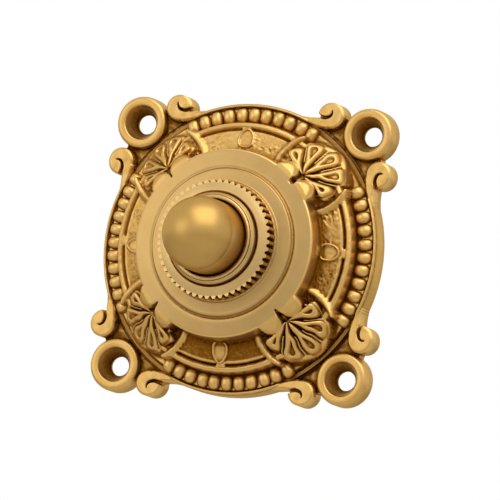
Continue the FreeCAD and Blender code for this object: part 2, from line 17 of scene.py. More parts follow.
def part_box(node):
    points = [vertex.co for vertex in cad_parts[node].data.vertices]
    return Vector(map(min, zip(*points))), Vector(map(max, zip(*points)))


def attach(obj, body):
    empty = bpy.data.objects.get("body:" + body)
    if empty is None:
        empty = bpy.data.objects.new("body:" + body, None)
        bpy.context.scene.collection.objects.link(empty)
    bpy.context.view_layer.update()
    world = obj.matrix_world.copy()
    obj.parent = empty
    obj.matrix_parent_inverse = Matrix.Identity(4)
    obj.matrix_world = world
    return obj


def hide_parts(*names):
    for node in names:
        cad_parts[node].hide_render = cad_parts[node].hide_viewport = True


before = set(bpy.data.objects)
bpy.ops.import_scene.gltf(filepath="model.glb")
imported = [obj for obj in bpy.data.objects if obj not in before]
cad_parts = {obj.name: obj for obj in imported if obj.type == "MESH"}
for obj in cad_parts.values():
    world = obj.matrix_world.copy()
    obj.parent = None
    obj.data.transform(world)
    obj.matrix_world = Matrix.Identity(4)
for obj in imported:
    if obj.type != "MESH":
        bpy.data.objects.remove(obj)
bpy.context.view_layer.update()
MM = 0.001
MIX_A, MIX_B, MIX_RESULT = 6, 7, 2      # colour sockets of the Mix node
CRISP = math.radians(40)                # an edge that turns by more than this stays sharp
log = logging.getLogger("bell_push")

Profile = list[tuple[float, ...]]
Field = np.ndarray


class Slot(Enum):
    """Names of material slots of the record; no piece in this script takes its finish from them."""

    CAST = "cast_brass"
    TURNED = "turned_brass"
    SPRING = "spring_steel"


class Body(Enum):
    """Bodies of the model that a piece can ride on."""

    HOUSING = "housing"
    BUTTON = "button"


class Grain(Enum):
    """Seeds of what is uneven, one for each kind."""

    BEADS = 3
    PUNCH_FINE = 11
    SKIN = 12
    PUNCH_COARSE = 13
    WORN = 14
    PETALS_ALONG = 31
    PETALS_ACROSS = 32


def srgb(code: str) -> tuple[float, float, float, float]:
    """Linear colour of an sRGB hex code.

    Args:
        code: six hex digits after a hash.

    Returns:
        Linear red, green and blue, with full alpha.
    """
    levels = [int(code[i:i + 2], 16) / 255 for i in (1, 3, 5)]
    linear = [c / 12.92 if c <= 0.04045 else ((c + 0.055) / 1.055) ** 2.4 for c in levels]
    return linear[0], linear[1], linear[2], 1.0


def add_node(tree: bpy.types.NodeTree, kind: str, inputs: Optional[dict] = None,
             **settings: object) -> bpy.types.Node:
    """Adds one node with its settings, values and links.

    Args:
        tree: the shader or geometry tree.
        kind: the node's type name.
        inputs: a value or an output socket for each named or numbered input.
        **settings: properties of the node itself.

    Returns:
        The new node.
    """
    node = tree.nodes.new(kind)
    for name, value in settings.items():
        setattr(node, name, value)
    for key, value in (inputs or {}).items():
        if isinstance(value, bpy.types.NodeSocket):
            tree.links.new(value, node.inputs[key])
        else:
            node.inputs[key].default_value = value
    return node


def per_mm(size: float) -> float:
    """Texture scale that gives features of a size in millimetres on Object coordinates."""
    return 1.0 / (size * MM)


def ease(value: Field, low: float, high: float) -> Field:
    """Smooth step from 0 at low to 1 at high."""
    t = np.clip((value - low) / (high - low), 0.0, 1.0)
    return t * t * (3.0 - 2.0 * t)


def blend_max(a: Field, b: Field, fillet: float) -> Field:
    """Higher of two surfaces, with a fillet of about the given size where they meet."""
    near = np.maximum(fillet - np.abs(a - b), 0.0) / fillet
    return np.maximum(a, b) + near * near * fillet / 4.0


def turned_axes(x: Field, z: Field, degrees: float) -> tuple[Field, Field]:
    """Places ahead of and beside a direction that is turned from the first axis to the second."""
    turn = math.radians(degrees)
    return x * math.cos(turn) + z * math.sin(turn), z * math.cos(turn) - x * math.sin(turn)


def spaced(start: float, spans: Sequence[tuple[float, int]]) -> Field:
    """Places from a start through spans that follow each other.

    Args:
        start: the first place.
        spans: (end, count) of each span.

    Returns:
        Every place but the last span's end.
    """
    starts = [start] + [end for end, _ in spans]
    return np.concatenate([np.linspace(a, end, count, endpoint=False)
                           for a, (end, count) in zip(starts, spans)])


def smooth_curve(points: Sequence[tuple[float, float]], rounding: float) -> Callable[[Field], Field]:
    """Curve through points whose corners are rounded by averaging over a width.

    Args:
        points: (position, height) corners from left to right.
        rounding: width of the average, in millimetres.

    Returns:
        A function of position.
    """
    step = 0.01
    at = np.arange(points[0][0] - rounding, points[-1][0] + rounding, step)
    raw = np.interp(at, [p[0] for p in points], [p[1] for p in points])
    width = max(3, int(rounding / step) | 1)
    window = np.hanning(width + 2)[1:-1]
    soft = np.convolve(np.pad(raw, width // 2, mode="edge"), window / window.sum(), mode="valid")
    return lambda x: np.interp(x, at, soft)


def ripple(x: Field, z: Field, spacing: float, seed: int, waves: int = 48) -> Field:
    """Uneven ground of about unit height, as hand punching leaves it.

    Args:
        x, z: places in millimetres.
        spacing: mean distance between bumps.
        seed: fixes the pattern.
        waves: number of plane waves that are added up.

    Returns:
        Height at each place.
    """
    rng = np.random.default_rng(seed)
    total = np.zeros(np.broadcast(x, z).shape)
    for _ in range(waves):
        angle, phase = rng.uniform(0, 2 * np.pi, 2)
        pitch = 2 * np.pi / (spacing * rng.uniform(0.7, 1.6))
        total += np.cos(pitch * (x * np.cos(angle) + z * np.sin(angle)) + phase)
    return total / math.sqrt(waves / 2)


def path_distance(x: Field, z: Field, path: Sequence[tuple[float, float, float]],
                  samples: int = 28) -> Field:
    """Distance from a stroke that has its own half width all along.

    Args:
        x, z: places in millimetres.
        path: (x, z, half width) points that the stroke runs through.
        samples: number of discs that make the stroke.

    Returns:
        Distance outside the stroke's edge, negative inside.
    """
    knots = np.array(path)
    spot = np.linspace(0, len(path) - 1, samples)
    before = np.clip(np.floor(spot).astype(int), 0, len(path) - 2)
    share = spot - before
    padded = np.vstack([2 * knots[0] - knots[1], knots, 2 * knots[-1] - knots[-2]])
    a, b, c, d = (padded[before + i] for i in range(4))
    s = share[:, None]
    curve = 0.5 * (2 * b + (c - a) * s + (2 * a - 5 * b + 4 * c - d) * s ** 2
                   + (3 * b - a - 3 * c + d) * s ** 3)
    nearest = np.full(np.broadcast(x, z).shape, np.inf)
    for px, pz, half in curve:
        nearest = np.minimum(nearest, np.hypot(x - px, z - pz) - half)
    return nearest


def teardrop_distance(across: Field, along: Field, start: float, end: float, narrow: float,
                      wide: float) -> Field:
    """Distance from a teardrop whose two round ends have their middles on one line.

    Args:
        across, along: places measured from the line and along it.
        start, end: where the middles of the narrow and the wide end lie.
        narrow, wide: radii of the ends.

    Returns:
        Distance outside the edge, negative inside.
    """
    length = end - start
    lean = (narrow - wide) / length
    slope = math.sqrt(1 - lean * lean)
    px, py = np.abs(across), along - start
    reach = -lean * px + slope * py
    side = slope * px + lean * py - narrow
    tip = np.hypot(px, py) - narrow
    head = np.hypot(px, py - length) - wide
    return np.where(reach < 0, tip, np.where(reach > slope * length, head, side))


def rounded(profile: Profile, steps: int = 5) -> list[tuple[float, float]]:
    """Closed outline with arcs at the corners that ask for them.

    Args:
        profile: (radius, height) corners, or (radius, height, rounding).
        steps: spans in each arc.

    Returns:
        (radius, height) points.
    """
    result: list[tuple[float, float]] = []
    count = len(profile)
    for i, corner in enumerate(profile):
        here = Vector(corner[:2])
        if len(corner) < 3:
            result.append((here.x, here.y))
            continue
        back, ahead = Vector(profile[i - 1][:2]), Vector(profile[(i + 1) % count][:2])
        most = 0.45 * min((back - here).length, (ahead - here).length)
        reach = min(corner[2], most)
        start, end = here + (back - here).normalized() * reach, here + (ahead - here).normalized() * reach
        for k in range(steps + 1):
            t = k / steps
            point = start * (1 - t) ** 2 + here * (2 * t * (1 - t)) + end * t ** 2
            result.append((point.x, point.y))
    return result


def make_mesh(name: str, points: Field, quads: Field,
              marks: Optional[dict[str, Field]] = None) -> bpy.types.Mesh:
    """Smooth mesh with its faces turned outwards.

    Args:
        name: the mesh's name.
        points: places in millimetres, in the frame.
        quads: four point numbers for each face, one of them twice where it is a triangle.
        marks: values to keep on the points, by attribute name.

    Returns:
        The mesh, in metres.
    """
    a, b, c, d = (points[quads[:, i]] for i in range(4))
    volume = np.einsum("ij,ij->", a, np.cross(b, c)) + np.einsum("ij,ij->", a, np.cross(c, d))
    if volume < 0:
        quads = quads[:, ::-1]
    faces = [list(dict.fromkeys(q)) for q in quads.tolist()]
    mesh = bpy.data.meshes.new(name)
    mesh.from_pydata((points * MM).tolist(), [], [f for f in faces if len(f) > 2])
    for key, values in (marks or {}).items():
        layer = mesh.attributes.new(key, "FLOAT", "POINT")
        layer.data.foreach_set("value", np.asarray(values, np.float32).ravel())
    mesh.polygons.foreach_set("use_smooth", [True] * len(mesh.polygons))
    mesh.update()
    return mesh


def turned_mesh(name: str, profile: Profile, columns: int = 192,
                dark: Optional[Callable[[Field, Field], Field]] = None) -> bpy.types.Mesh:
    """Body turned about the axis of the press from a closed outline.

    Args:
        name: the mesh's name.
        profile: (radius, height) corners, or (radius, height, rounding).
        columns: faces round the axis.
        dark: how much patina and painted shade lies at a radius and height, from 0 to 1.

    Returns:
        The mesh.
    """
    outline = np.array(rounded(profile))
    turn = np.linspace(0, 2 * np.pi, columns, endpoint=False)
    r, h = outline[:, :1], outline[:, 1:]
    points = np.stack([r * np.cos(turn), -h + 0 * turn, r * np.sin(turn)], axis=-1)
    rows = len(outline)
    number = np.arange(rows * columns).reshape(rows, columns)
    pole = outline[:, 0] < 1e-6
    number[pole] = number[pole][:, :1]
    return make_mesh(name, points.reshape(-1, 3), closed_quads(number),
                     {"patina_and_shade": (dark(r, h) if dark else 0 * r) + 0 * turn})


def closed_quads(number: Field) -> Field:
    """Quads of a grid of point numbers that closes on itself both ways."""
    down, right = np.roll(number, -1, axis=0), np.roll(number, -1, axis=1)
    quads = np.stack([number, right, np.roll(down, -1, axis=1), down], axis=-1).reshape(-1, 4)
    flat = (quads[:, 0] == quads[:, 1]) & (quads[:, 2] == quads[:, 3])
    return quads[~flat]


def add_piece(name: str, mesh: bpy.types.Mesh, material: bpy.types.Material, body: Body,
              stands_for: str, inlay: Optional[bpy.types.Material] = None,
              inlaid: Optional[Callable[[Field, Field], Field]] = None) -> bpy.types.Object:
    """Links a finished mesh, rides it on its body and hides the node that it stands for.

    Args:
        name: the piece's name.
        mesh: its mesh, already in place.
        material: its finish.
        body: what it moves with.
        stands_for: the node that it replaces.
        inlay: a second finish for some of its faces.
        inlaid: picks those faces by their radius and height.

    Returns:
        The piece.
    """
    piece = bpy.data.objects.new(name, mesh)
    bpy.context.scene.collection.objects.link(piece)
    mesh.materials.clear()
    mesh.materials.append(material)
    if inlay:
        mesh.materials.append(inlay)
        middles = np.zeros(len(mesh.polygons) * 3)
        mesh.polygons.foreach_get("center", middles)
        x, y, z = middles.reshape(-1, 3).T / MM
        mesh.polygons.foreach_set("material_index", inlaid(np.hypot(x, z), -y).astype(np.int32))
    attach(piece, body.value)
    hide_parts(stands_for)
    log.info("%s: %d faces", name, len(mesh.polygons))
    return piece


def reach_of(node: str) -> tuple[float, float, float]:
    """Greatest radius, lowest and highest height of a turned node, in millimetres."""
    low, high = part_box(node)
    return high.x / MM, -high.y / MM, -low.y / MM


@dataclass(frozen=True)
class BrassFinish:
    """Brass with a brown patina left in its hollows and rubbed off where hands and cloths reach; its patina
    mark carries painted shade as well.

    Attributes:
        name: the finish in a metal worker's words.
        light, tone: the clean metal, where it is rubbed and where it isn't.
        brown, deep: thin patina and the thick one in the deepest cuts, also the colours of painted shade.
        edge: the metal seen at a glancing angle.
        satin, dull: roughness of clean and of patinated metal.
        patch, speck: size in millimetres of the tone's patches and of the patina's specks.
        unevenness: how much the specks break up the patina.
        thin, thick: amounts of patina and painted shade over which its thin and its thick colour set in.
        turning: height in millimetres of the lathe's circular marks.
        ring_pitch: distance between them, coarser than real so that they show.
        grain: height in millimetres of the cast skin.
        grain_size: distance between its bumps.
        cover: patina that lies over everything.
    """

    name: str
    light: str
    tone: str
    brown: str = "#80500F"
    deep: str = "#381003"
    edge: str = "#F4E3C4"
    satin: float = 0.36
    dull: float = 0.62
    patch: float = 4.0
    speck: float = 0.55
    unevenness: float = 0.9
    thin: tuple[float, float] = (0.04, 0.55)
    thick: tuple[float, float] = (0.5, 1.0)
    turning: float = 0.0
    ring_pitch: float = 0.3
    grain: float = 0.0
    grain_size: float = 0.35
    cover: float = 0.0

    def material(self) -> bpy.types.Material:
        """Builds the finish from the piece's own marks and Object coordinates."""
        made = bpy.data.materials.new(self.name)
        made.use_nodes = True
        tree = made.node_tree
        shader = tree.nodes["Principled BSDF"]
        place = add_node(tree, "ShaderNodeTexCoord").outputs["Object"]
        # the patina mark holds real patina and painted shade both
        patina_and_shade = add_node(tree, "ShaderNodeAttribute", attribute_name="patina_and_shade").outputs["Fac"]
        rubbed = add_node(tree, "ShaderNodeAttribute", attribute_name="rubbed").outputs["Fac"]
        cloud = add_node(tree, "ShaderNodeTexNoise", {"Vector": place, "Scale": per_mm(self.patch),
                                                      "Detail": 4.0}).outputs["Fac"]
        speck = add_node(tree, "ShaderNodeTexNoise", {"Vector": place, "Scale": per_mm(self.speck),
                                                      "Detail": 3.0}).outputs["Fac"]
        clean = add_node(tree, "ShaderNodeMix", {"Factor": cloud, MIX_A: srgb(self.tone),
                                                 MIX_B: srgb(self.light)},
                         data_type="RGBA").outputs[MIX_RESULT]
        metal = add_node(tree, "ShaderNodeMix", {"Factor": rubbed, MIX_A: clean, MIX_B: srgb(self.light)},
                         data_type="RGBA").outputs[MIX_RESULT]
        uneven = add_node(tree, "ShaderNodeMath", {0: speck, 1: self.unevenness, 2: -self.unevenness / 2},
                          operation="MULTIPLY_ADD").outputs[0]
        total = add_node(tree, "ShaderNodeMath", {0: patina_and_shade, 1: self.cover}, operation="ADD").outputs[0]
        patchy = add_node(tree, "ShaderNodeMath", {0: uneven, 1: total, 2: total},
                          operation="MULTIPLY_ADD", use_clamp=True).outputs[0]
        thin = add_node(tree, "ShaderNodeMapRange", {"Value": patchy, 1: self.thin[0], 2: self.thin[1]},
                        interpolation_type="SMOOTHSTEP").outputs["Result"]
        thick = add_node(tree, "ShaderNodeMapRange", {"Value": patchy, 1: self.thick[0], 2: self.thick[1]},
                         interpolation_type="SMOOTHSTEP").outputs["Result"]
        stained = add_node(tree, "ShaderNodeMix", {"Factor": thin, MIX_A: metal, MIX_B: srgb(self.brown)},
                           data_type="RGBA").outputs[MIX_RESULT]
        colour = add_node(tree, "ShaderNodeMix", {"Factor": thick, MIX_A: stained, MIX_B: srgb(self.deep)},
                          data_type="RGBA").outputs[MIX_RESULT]
        tree.links.new(colour, shader.inputs["Base Color"])
        rough = add_node(tree, "ShaderNodeMapRange", {"Value": thin, 3: self.satin, 4: self.dull})
        tree.links.new(rough.outputs["Result"], shader.inputs["Roughness"])
        shader.inputs["Metallic"].default_value = 1.0
        shader.inputs["Specular Tint"].default_value = srgb(self.edge)
        self._relief(tree, shader, place)
        return made

    def _relief(self, tree: bpy.types.NodeTree, shader: bpy.types.Node, place: bpy.types.NodeSocket) -> None:
        """Adds the lathe's rings and the cast skin as bump.

        Args:
            tree: the material's tree.
            shader: its Principled node.
            place: Object coordinates.
        """
        normal = None
        if self.turning:
            flat = add_node(tree, "ShaderNodeVectorMath", {0: place, 1: (1.0, 0.0, 1.0)},
                            operation="MULTIPLY").outputs[0]
            radius = add_node(tree, "ShaderNodeVectorMath", {0: flat}, operation="LENGTH").outputs["Value"]
            rings = add_node(tree, "ShaderNodeTexNoise", {"W": radius, "Scale": per_mm(self.ring_pitch),
                                                          "Detail": 3.0},
                             noise_dimensions="1D").outputs["Fac"]
            normal = add_node(tree, "ShaderNodeBump", {"Height": rings, "Strength": 1.0,
                                                       "Distance": self.turning * MM}).outputs["Normal"]
        if self.grain:
            skin = add_node(tree, "ShaderNodeTexNoise", {"Vector": place, "Scale": per_mm(self.grain_size),
                                                         "Detail": 4.0, "Roughness": 0.6}).outputs["Fac"]
            bump = {"Height": skin, "Strength": 1.0, "Distance": self.grain * MM}
            if normal is not None:
                bump["Normal"] = normal
            normal = add_node(tree, "ShaderNodeBump", bump).outputs["Normal"]
        if normal is not None:
            tree.links.new(normal, shader.inputs["Normal"])


@dataclass(frozen=True)
class PlainFinish:
    """A finish of one even colour with fine mottling, for what lies behind the plate.

    Attributes:
        name: the finish in a fitter's words.
        colour, mottle: its two tones.
        metallic, roughness: typical values of the material.
        mottle_size: distance between the darker spots, in millimetres.
        skin: height of the surface's bumps, in millimetres.
    """

    name: str
    colour: str
    mottle: str
    metallic: float
    roughness: float
    mottle_size: float = 0.8
    skin: float = 0.01

    def material(self) -> bpy.types.Material:
        """Builds the finish on Object coordinates."""
        made = bpy.data.materials.new(self.name)
        made.use_nodes = True
        tree = made.node_tree
        shader = tree.nodes["Principled BSDF"]
        place = add_node(tree, "ShaderNodeTexCoord").outputs["Object"]
        spots = add_node(tree, "ShaderNodeTexNoise", {"Vector": place, "Scale": per_mm(self.mottle_size),
                                                      "Detail": 4.0}).outputs["Fac"]
        colour = add_node(tree, "ShaderNodeMix", {"Factor": spots, MIX_A: srgb(self.colour),
                                                  MIX_B: srgb(self.mottle)},
                          data_type="RGBA").outputs[MIX_RESULT]
        tree.links.new(colour, shader.inputs["Base Color"])
        shader.inputs["Metallic"].default_value = self.metallic
        rough = add_node(tree, "ShaderNodeMapRange", {"Value": spots, 3: self.roughness * 0.85,
                                                      4: self.roughness * 1.15})
        tree.links.new(rough.outputs["Result"], shader.inputs["Roughness"])
        bump = add_node(tree, "ShaderNodeBump", {"Height": spots, "Strength": 1.0,
                                                 "Distance": self.skin * MM})
        tree.links.new(bump.outputs["Normal"], shader.inputs["Normal"])
        return made


@dataclass(frozen=True)
class Finishes:
    """Every finish of the bell push, made once."""

    # Sand-cast brass, dipped brown and rubbed back: gold on the high places and dark in the cuts
    cast: BrassFinish = BrassFinish("cast_brass_antiqued", "#D4AE6A", "#BA8E46", grain=0.035,
                                    grain_size=0.45, satin=0.36)
    # Brim and boss turned clean after casting: an even satin gold with fine circular marks
    turned: BrassFinish = BrassFinish("cast_brass_turned", "#BD9B62", "#AF8C53", turning=0.010,
                                      grain=0.006, satin=0.34)
    # Milled ring and collar from bar: a little brighter and smoother
    bar: BrassFinish = BrassFinish("turned_bar_brass", "#D2B075", "#C2A066", turning=0.008, satin=0.30)
    # Press rubbed by thumbs: the smoothest piece, with a broad soft highlight
    press: BrassFinish = BrassFinish("thumb_polished_brass", "#C09A58", "#B28C4B", grain=0.003,
                                     grain_size=0.8, satin=0.38)
    # Back of the casting as it left the sand: dull, grainy and brown
    rough: BrassFinish = BrassFinish("cast_brass_as_cast", "#B98F4E", "#9A7238", grain=0.06,
                                     grain_size=0.6, satin=0.5, cover=0.22)
    # Small turned fittings behind the plate: clean yellow brass
    fitting: BrassFinish = BrassFinish("turned_brass_fittings", "#DDBB74", "#C9A45B", turning=0.004,
                                       satin=0.32)
    # Phenolic moulding: near black brown with a low sheen and faint mottling
    block: PlainFinish = PlainFinish("moulded_phenolic", "#2B1A12", "#1A0F0A", 0.0, 0.38)
    # Vulcanised fibre: matt brick red with a papery fleck
    fibre: PlainFinish = PlainFinish("vulcanised_fibre", "#7A2C1C", "#5A1E13", 0.0, 0.6, 0.5)
    # Phosphor bronze strip: redder than brass, with a rolled sheen
    bronze: PlainFinish = PlainFinish("phosphor_bronze_strip", "#C48A5E", "#B0784F", 1.0, 0.3, 1.2, 0.004)
    # Spring wire drawn and blued a little: grey and fairly bright
    wire: PlainFinish = PlainFinish("drawn_spring_steel", "#A5A4A2", "#8C8B8A", 1.0, 0.3, 0.4, 0.003)
    # Silver contact: white metal with a slight tarnish
    silver: PlainFinish = PlainFinish("tarnished_silver", "#E2DFD6", "#B9B2A2", 1.0, 0.28, 0.6, 0.003)


@dataclass(frozen=True)
class CastingSizes:
    """Radii and heights of the casting from the boss outwards, in millimetres.

    Attributes:
        face_rise: how far the turned face of the boss ends above the step.
        skin_lap: how far the front's skin reaches under that face.
        lobe_fall: radius and height of the top of the brim's lobes, past the brim.
        gutter_depth: how far the narrow gutter inside the lip lies under the channel.
        groove_start, groove_stop: where the groove sets in and ends, in degrees from the nearest axis.
        lip_stop: where the raised lip ends, in the same degrees.
        hollow: corners of the hollow back, from the rim inwards.
    """

    bore: float = 10.2
    ring_radius: float = 13.0
    boss_face: float = 16.2
    face_end: float = 15.3
    face_rise: float = 0.2
    skin_lap: float = 0.4
    step_radius: float = 16.25
    step_height: float = 15.0
    step_foot: float = 14.4
    ledge_end: float = 17.0
    brim_radius: float = 20.55
    brim_height: float = 13.9
    lobe_fall: tuple[tuple[float, float], ...] = ((21.2, 13.7), (23.6, 12.1))
    panel_inner: float = 9.3
    panel_outer: float = 8.3
    groove_inner: float = 25.05
    groove_floor: float = 7.5
    moulding_inner: float = 25.85
    moulding_crest: float = 26.5
    moulding_outer: float = 27.35
    moulding_height: float = 8.2
    channel_outer: float = 30.65
    channel_height: float = 4.4
    gutter_depth: float = 0.6
    lip_inner: float = 31.0
    lip_crest: float = 31.4
    lip_height: float = 5.3
    rim_radius: float = 31.75
    rim_wall: float = 2.9
    corner_level: float = 2.65
    groove_start: tuple[float, float] = (1.6, 3.0)
    groove_stop: tuple[float, float] = (25.0, 27.0)
    lip_stop: tuple[float, float] = (23.0, 28.0)
    hollow: tuple[tuple[float, ...], ...] = (
        (25.45, 2.2, 0.5), (24.45, 5.9, 0.5), (17.95, 6.9, 0.3), (17.95, 11.4, 1.0), (13.2, 11.4),
        (13.2, 13.0))

    @property
    def face_height(self) -> float:
        """Height of the boss where its turned face ends."""
        return self.step_height + self.face_rise

    @property
    def skin_start(self) -> float:
        """Radius at which the front's skin starts, under the turned face."""
        return self.face_end - self.skin_lap


@dataclass(frozen=True)
class PetalShape:
    """Wedge-shaped petal with a blunt, slightly bowed outer end.

    Attributes:
        half_angle: half of the wedge's angle, in degrees.
        groove: how far its sides keep from the wedge past the root.
        root_share: share of that distance at the root itself.
        widening: distances from the root between which the groove widens.
        bulge: how much the end is bowed.
        blunt: rounding between the sides and the end.
    """

    half_angle: float = 17.2
    groove: float = 0.4
    root_share: float = 0.3
    widening: tuple[float, float] = (0.6, 3.6)
    bulge: float = 0.11
    blunt: float = 1.1

    def distance(self, across: Field, ahead: Field, length: float) -> Field:
        """Distance from the petal's edge, negative inside.

        Args:
            across, ahead: places measured from the petal's middle line and along it from its root.
            length: from root to tip.

        Returns:
            The distance in millimetres.
        """
        lean = math.radians(self.half_angle)
        widened = self.root_share + (1 - self.root_share) * ease(ahead, *self.widening)
        side = np.abs(across) * math.cos(lean) - ahead * math.sin(lean) + self.groove * widened
        end = ahead + self.bulge * across * across - length
        return blend_max(side, end, self.blunt)


@dataclass(frozen=True)
class ShellSizes:
    """One fan shell on a diagonal, in millimetres and degrees.

    Attributes:
        crest: radius and height of the line that the petals' tops follow.
        bed_middle, bed_radius: circle on the diagonal that carries the fan, with the petals past it.
        bed_margin: how far the bed reaches past the petals.
        bed_edge: how far the bed's edge is rounded down.
        bed_fall: how far the bed falls away past its edge.
        bed_drop: how far the bed lies under the crest past the petals' ends.
        bed_rise: distances from the root between which it comes up to that.
        petal_root: radius of the point that the petals spread from.
        directions, lengths: of the petals, from the diagonal.
        valley: depth of the cuts between the petals.
        shoulder: how far a petal's top is rounded down to its edge.
        hollow: depth of the hollow in each petal.
        line: width of the wall left round the hollow.
        rib_half, rib_drop: half width of the thin line between two petals, and how far it lies low.
        rib_middle, rib_reach: its middle from the root and half of its length.
        rib_aside: how far it lies beside the middle of the cut.
        wobble, wobble_size: height and spacing of the unevenness of the carver's lines.
        lobe_radius, lobe_angle: lobes of the brim that lap over the fan.
        notch_depth: depth of the notch between them.
    """

    crest: tuple[tuple[float, float], ...] = (
        (15.0, 13.4), (20.55, 12.9), (23.6, 11.6), (26.6, 9.5), (28.6, 7.8), (30.0, 6.35), (31.0, 5.2),
        (33.0, 3.0))
    bed_middle: float = 24.6
    bed_radius: float = 6.0
    bed_margin: float = 0.4
    bed_edge: float = 0.2
    bed_fall: float = 7.0
    bed_drop: float = 0.75
    bed_rise: tuple[float, float] = (6.6, 7.8)
    petal_root: float = 22.2
    directions: tuple[float, ...] = (-75.0, -38.0, 0.0, 38.0, 73.0)
    lengths: tuple[float, ...] = (6.7, 7.8, 7.8, 7.8, 6.8)
    valley: float = 1.35
    shoulder: float = 0.26
    hollow: float = 0.75
    line: float = 0.8
    rib_half: float = 0.07
    rib_drop: float = 0.7
    rib_middle: float = 5.4
    rib_reach: float = 1.9
    rib_aside: float = 0.08
    wobble: float = 0.07
    wobble_size: float = 3.0
    lobe_radius: float = 2.5
    lobe_angle: float = 8.0
    notch_depth: float = 1.5


@dataclass(frozen=True)
class NotchShape:
    """Hand-finished notch between two lobes: half widths and radii of its root and its mouth."""

    root: float
    mouth: float
    start: float
    end: float


@dataclass(frozen=True)
class ArchShape:
    """Small raised arch in a panel.

    Attributes:
        turned: how far it lies off its axis, in degrees.
        start, end: radii of its foot and its tip.
        half: half of its width.
        blunt: 0.5 for a round end, more for a pointed one.
        line: half width of its raised outline.
        belly: share of its length at which it is widest.
    """

    turned: float
    start: float
    end: float
    half: float
    blunt: float
    line: float = 0.26
    belly: float = 0.42

    def width(self, out: Field) -> Field:
        """Half of its width at a radius."""
        widest = self.start + self.belly * (self.end - self.start)
        ahead = np.clip((out - widest) / (self.end - widest), 0, 1)
        behind = np.clip((widest - out) / (widest - self.start), 0, 1)
        return self.half * (1 - ahead * ahead) ** self.blunt * (1 - behind ** 4) ** 0.5

    def outline(self, points: int = 13) -> list[tuple[float, float, float]]:
        """Its closed line.

        Args:
            points: number of points on each side, closer together at the ends.

        Returns:
            (radius, side, half width) points.
        """
        widest = self.start + self.belly * (self.end - self.start)
        ahead = np.linspace(0, 1, points) < 0.5
        at = widest + np.cos(np.linspace(0, np.pi, points)) * np.where(ahead, self.end - widest,
                                                                       widest - self.start)
        side = self.width(at)
        there = [(o, w, self.line) for o, w in zip(at, side)]
        return there + [(o, -w, self.line) for o, w in zip(at[::-1], side[::-1])]

    def inside(self, out: Field, across: Field) -> Field:
        """Distance from the field inside its line, negative on the field."""
        middle, half_length = (self.start + self.end) / 2, (self.end - self.start) / 2
        return np.maximum(np.abs(across) - self.width(out), np.abs(out - middle) - half_length)


@dataclass(frozen=True)
class PunchedGround:
    """Ground of the panels, struck with a punch.

    Attributes:
        inset: distances past the brim between which the marks set in.
        outer: radii between which they end.
        proud: heights over the panel between which a form has no marks.
        depth, sunk: height of the marks and how far they lie under the panel.
        fine, coarse: spacing of the two sizes of mark.
        patch: size of the worn patches.
        least: share of the marks that is left where they are worn most.
        skin: height of the cast skin over the whole front.
    """

    inset: tuple[float, float] = (0.1, 0.6)
    outer: tuple[float, float] = (24.7, 25.1)
    proud: tuple[float, float] = (0.05, 0.3)
    depth: float = 0.07
    sunk: float = 0.04
    fine: float = 0.75
    coarse: float = 1.6
    patch: float = 7.0
    least: float = 0.2
    skin: float = 0.02

    def marks(self, x: Field, z: Field) -> Field:
        """Height of the punch marks, which are worn in patches and more towards the lower left.

        Args:
            x, z: places in millimetres.

        Returns:
            Height over the panel.
        """
        kept = ease(ripple(x, z, self.patch, Grain.WORN.value, 12), -0.7, 0.5) * ease(z + 0.4 * x, -20, 4)
        struck = (self.depth * ripple(x, z, self.fine, Grain.PUNCH_FINE.value)
                  + self.depth * ripple(x, z, self.coarse, Grain.PUNCH_COARSE.value) - self.sunk)
        return (self.least + (1 - self.least) * kept) * struck


@dataclass(frozen=True)
class CastPatinaAndShade:
    """How the brown patina and the painted shade lie on the front of the casting, each amount from 0 to 1.

    Attributes:
        near_reach, wide_reach: width of the two means that find the hollows, in millimetres.
        near_gain, wide_gain: patina for each millimetre under those means.
        base: patina everywhere.
        wall_loss: share that is gone from the brim's wall.
        stain_gain, stain_cap, stain_base, bottom_shade: patina of the punched ground, and painted shade
        growing downwards.
        channel_cap: most of it past the moulding.
        shade_base, shade_lean: patina over all, and how much more painted shade lies at the lower right.
        rim_base, rim_lean: patina in the groove between a shell and its corner, and how much more painted
            shade lies there at the lower right.
        brim_loss: share that is gone from the brim's clean top.
        step_base, step_lean: the dark line at the foot of the step, patina and painted shade in its crease,
            and how much more lies at the lower right.
        step_at, step_width: where that line lies past the step, and its width.
        rub_gain: how soon a raised place is rubbed bright.
    """

    near_reach: float = 0.45
    wide_reach: float = 1.3
    near_gain: float = 1.7
    wide_gain: float = 0.36
    base: float = 0.06
    wall_loss: float = 0.55
    stain_gain: float = 0.7
    stain_cap: float = 0.4
    stain_base: float = 0.08
    bottom_shade: float = 0.3
    channel_cap: float = 0.5
    shade_base: float = 0.95
    shade_lean: float = 0.35
    rim_base: float = 0.42
    rim_lean: float = 0.48
    brim_loss: float = 0.85
    step_base: float = 0.3
    step_lean: float = 0.22
    step_at: float = 0.3
    step_width: float = 0.26
    rub_gain: float = 2.2


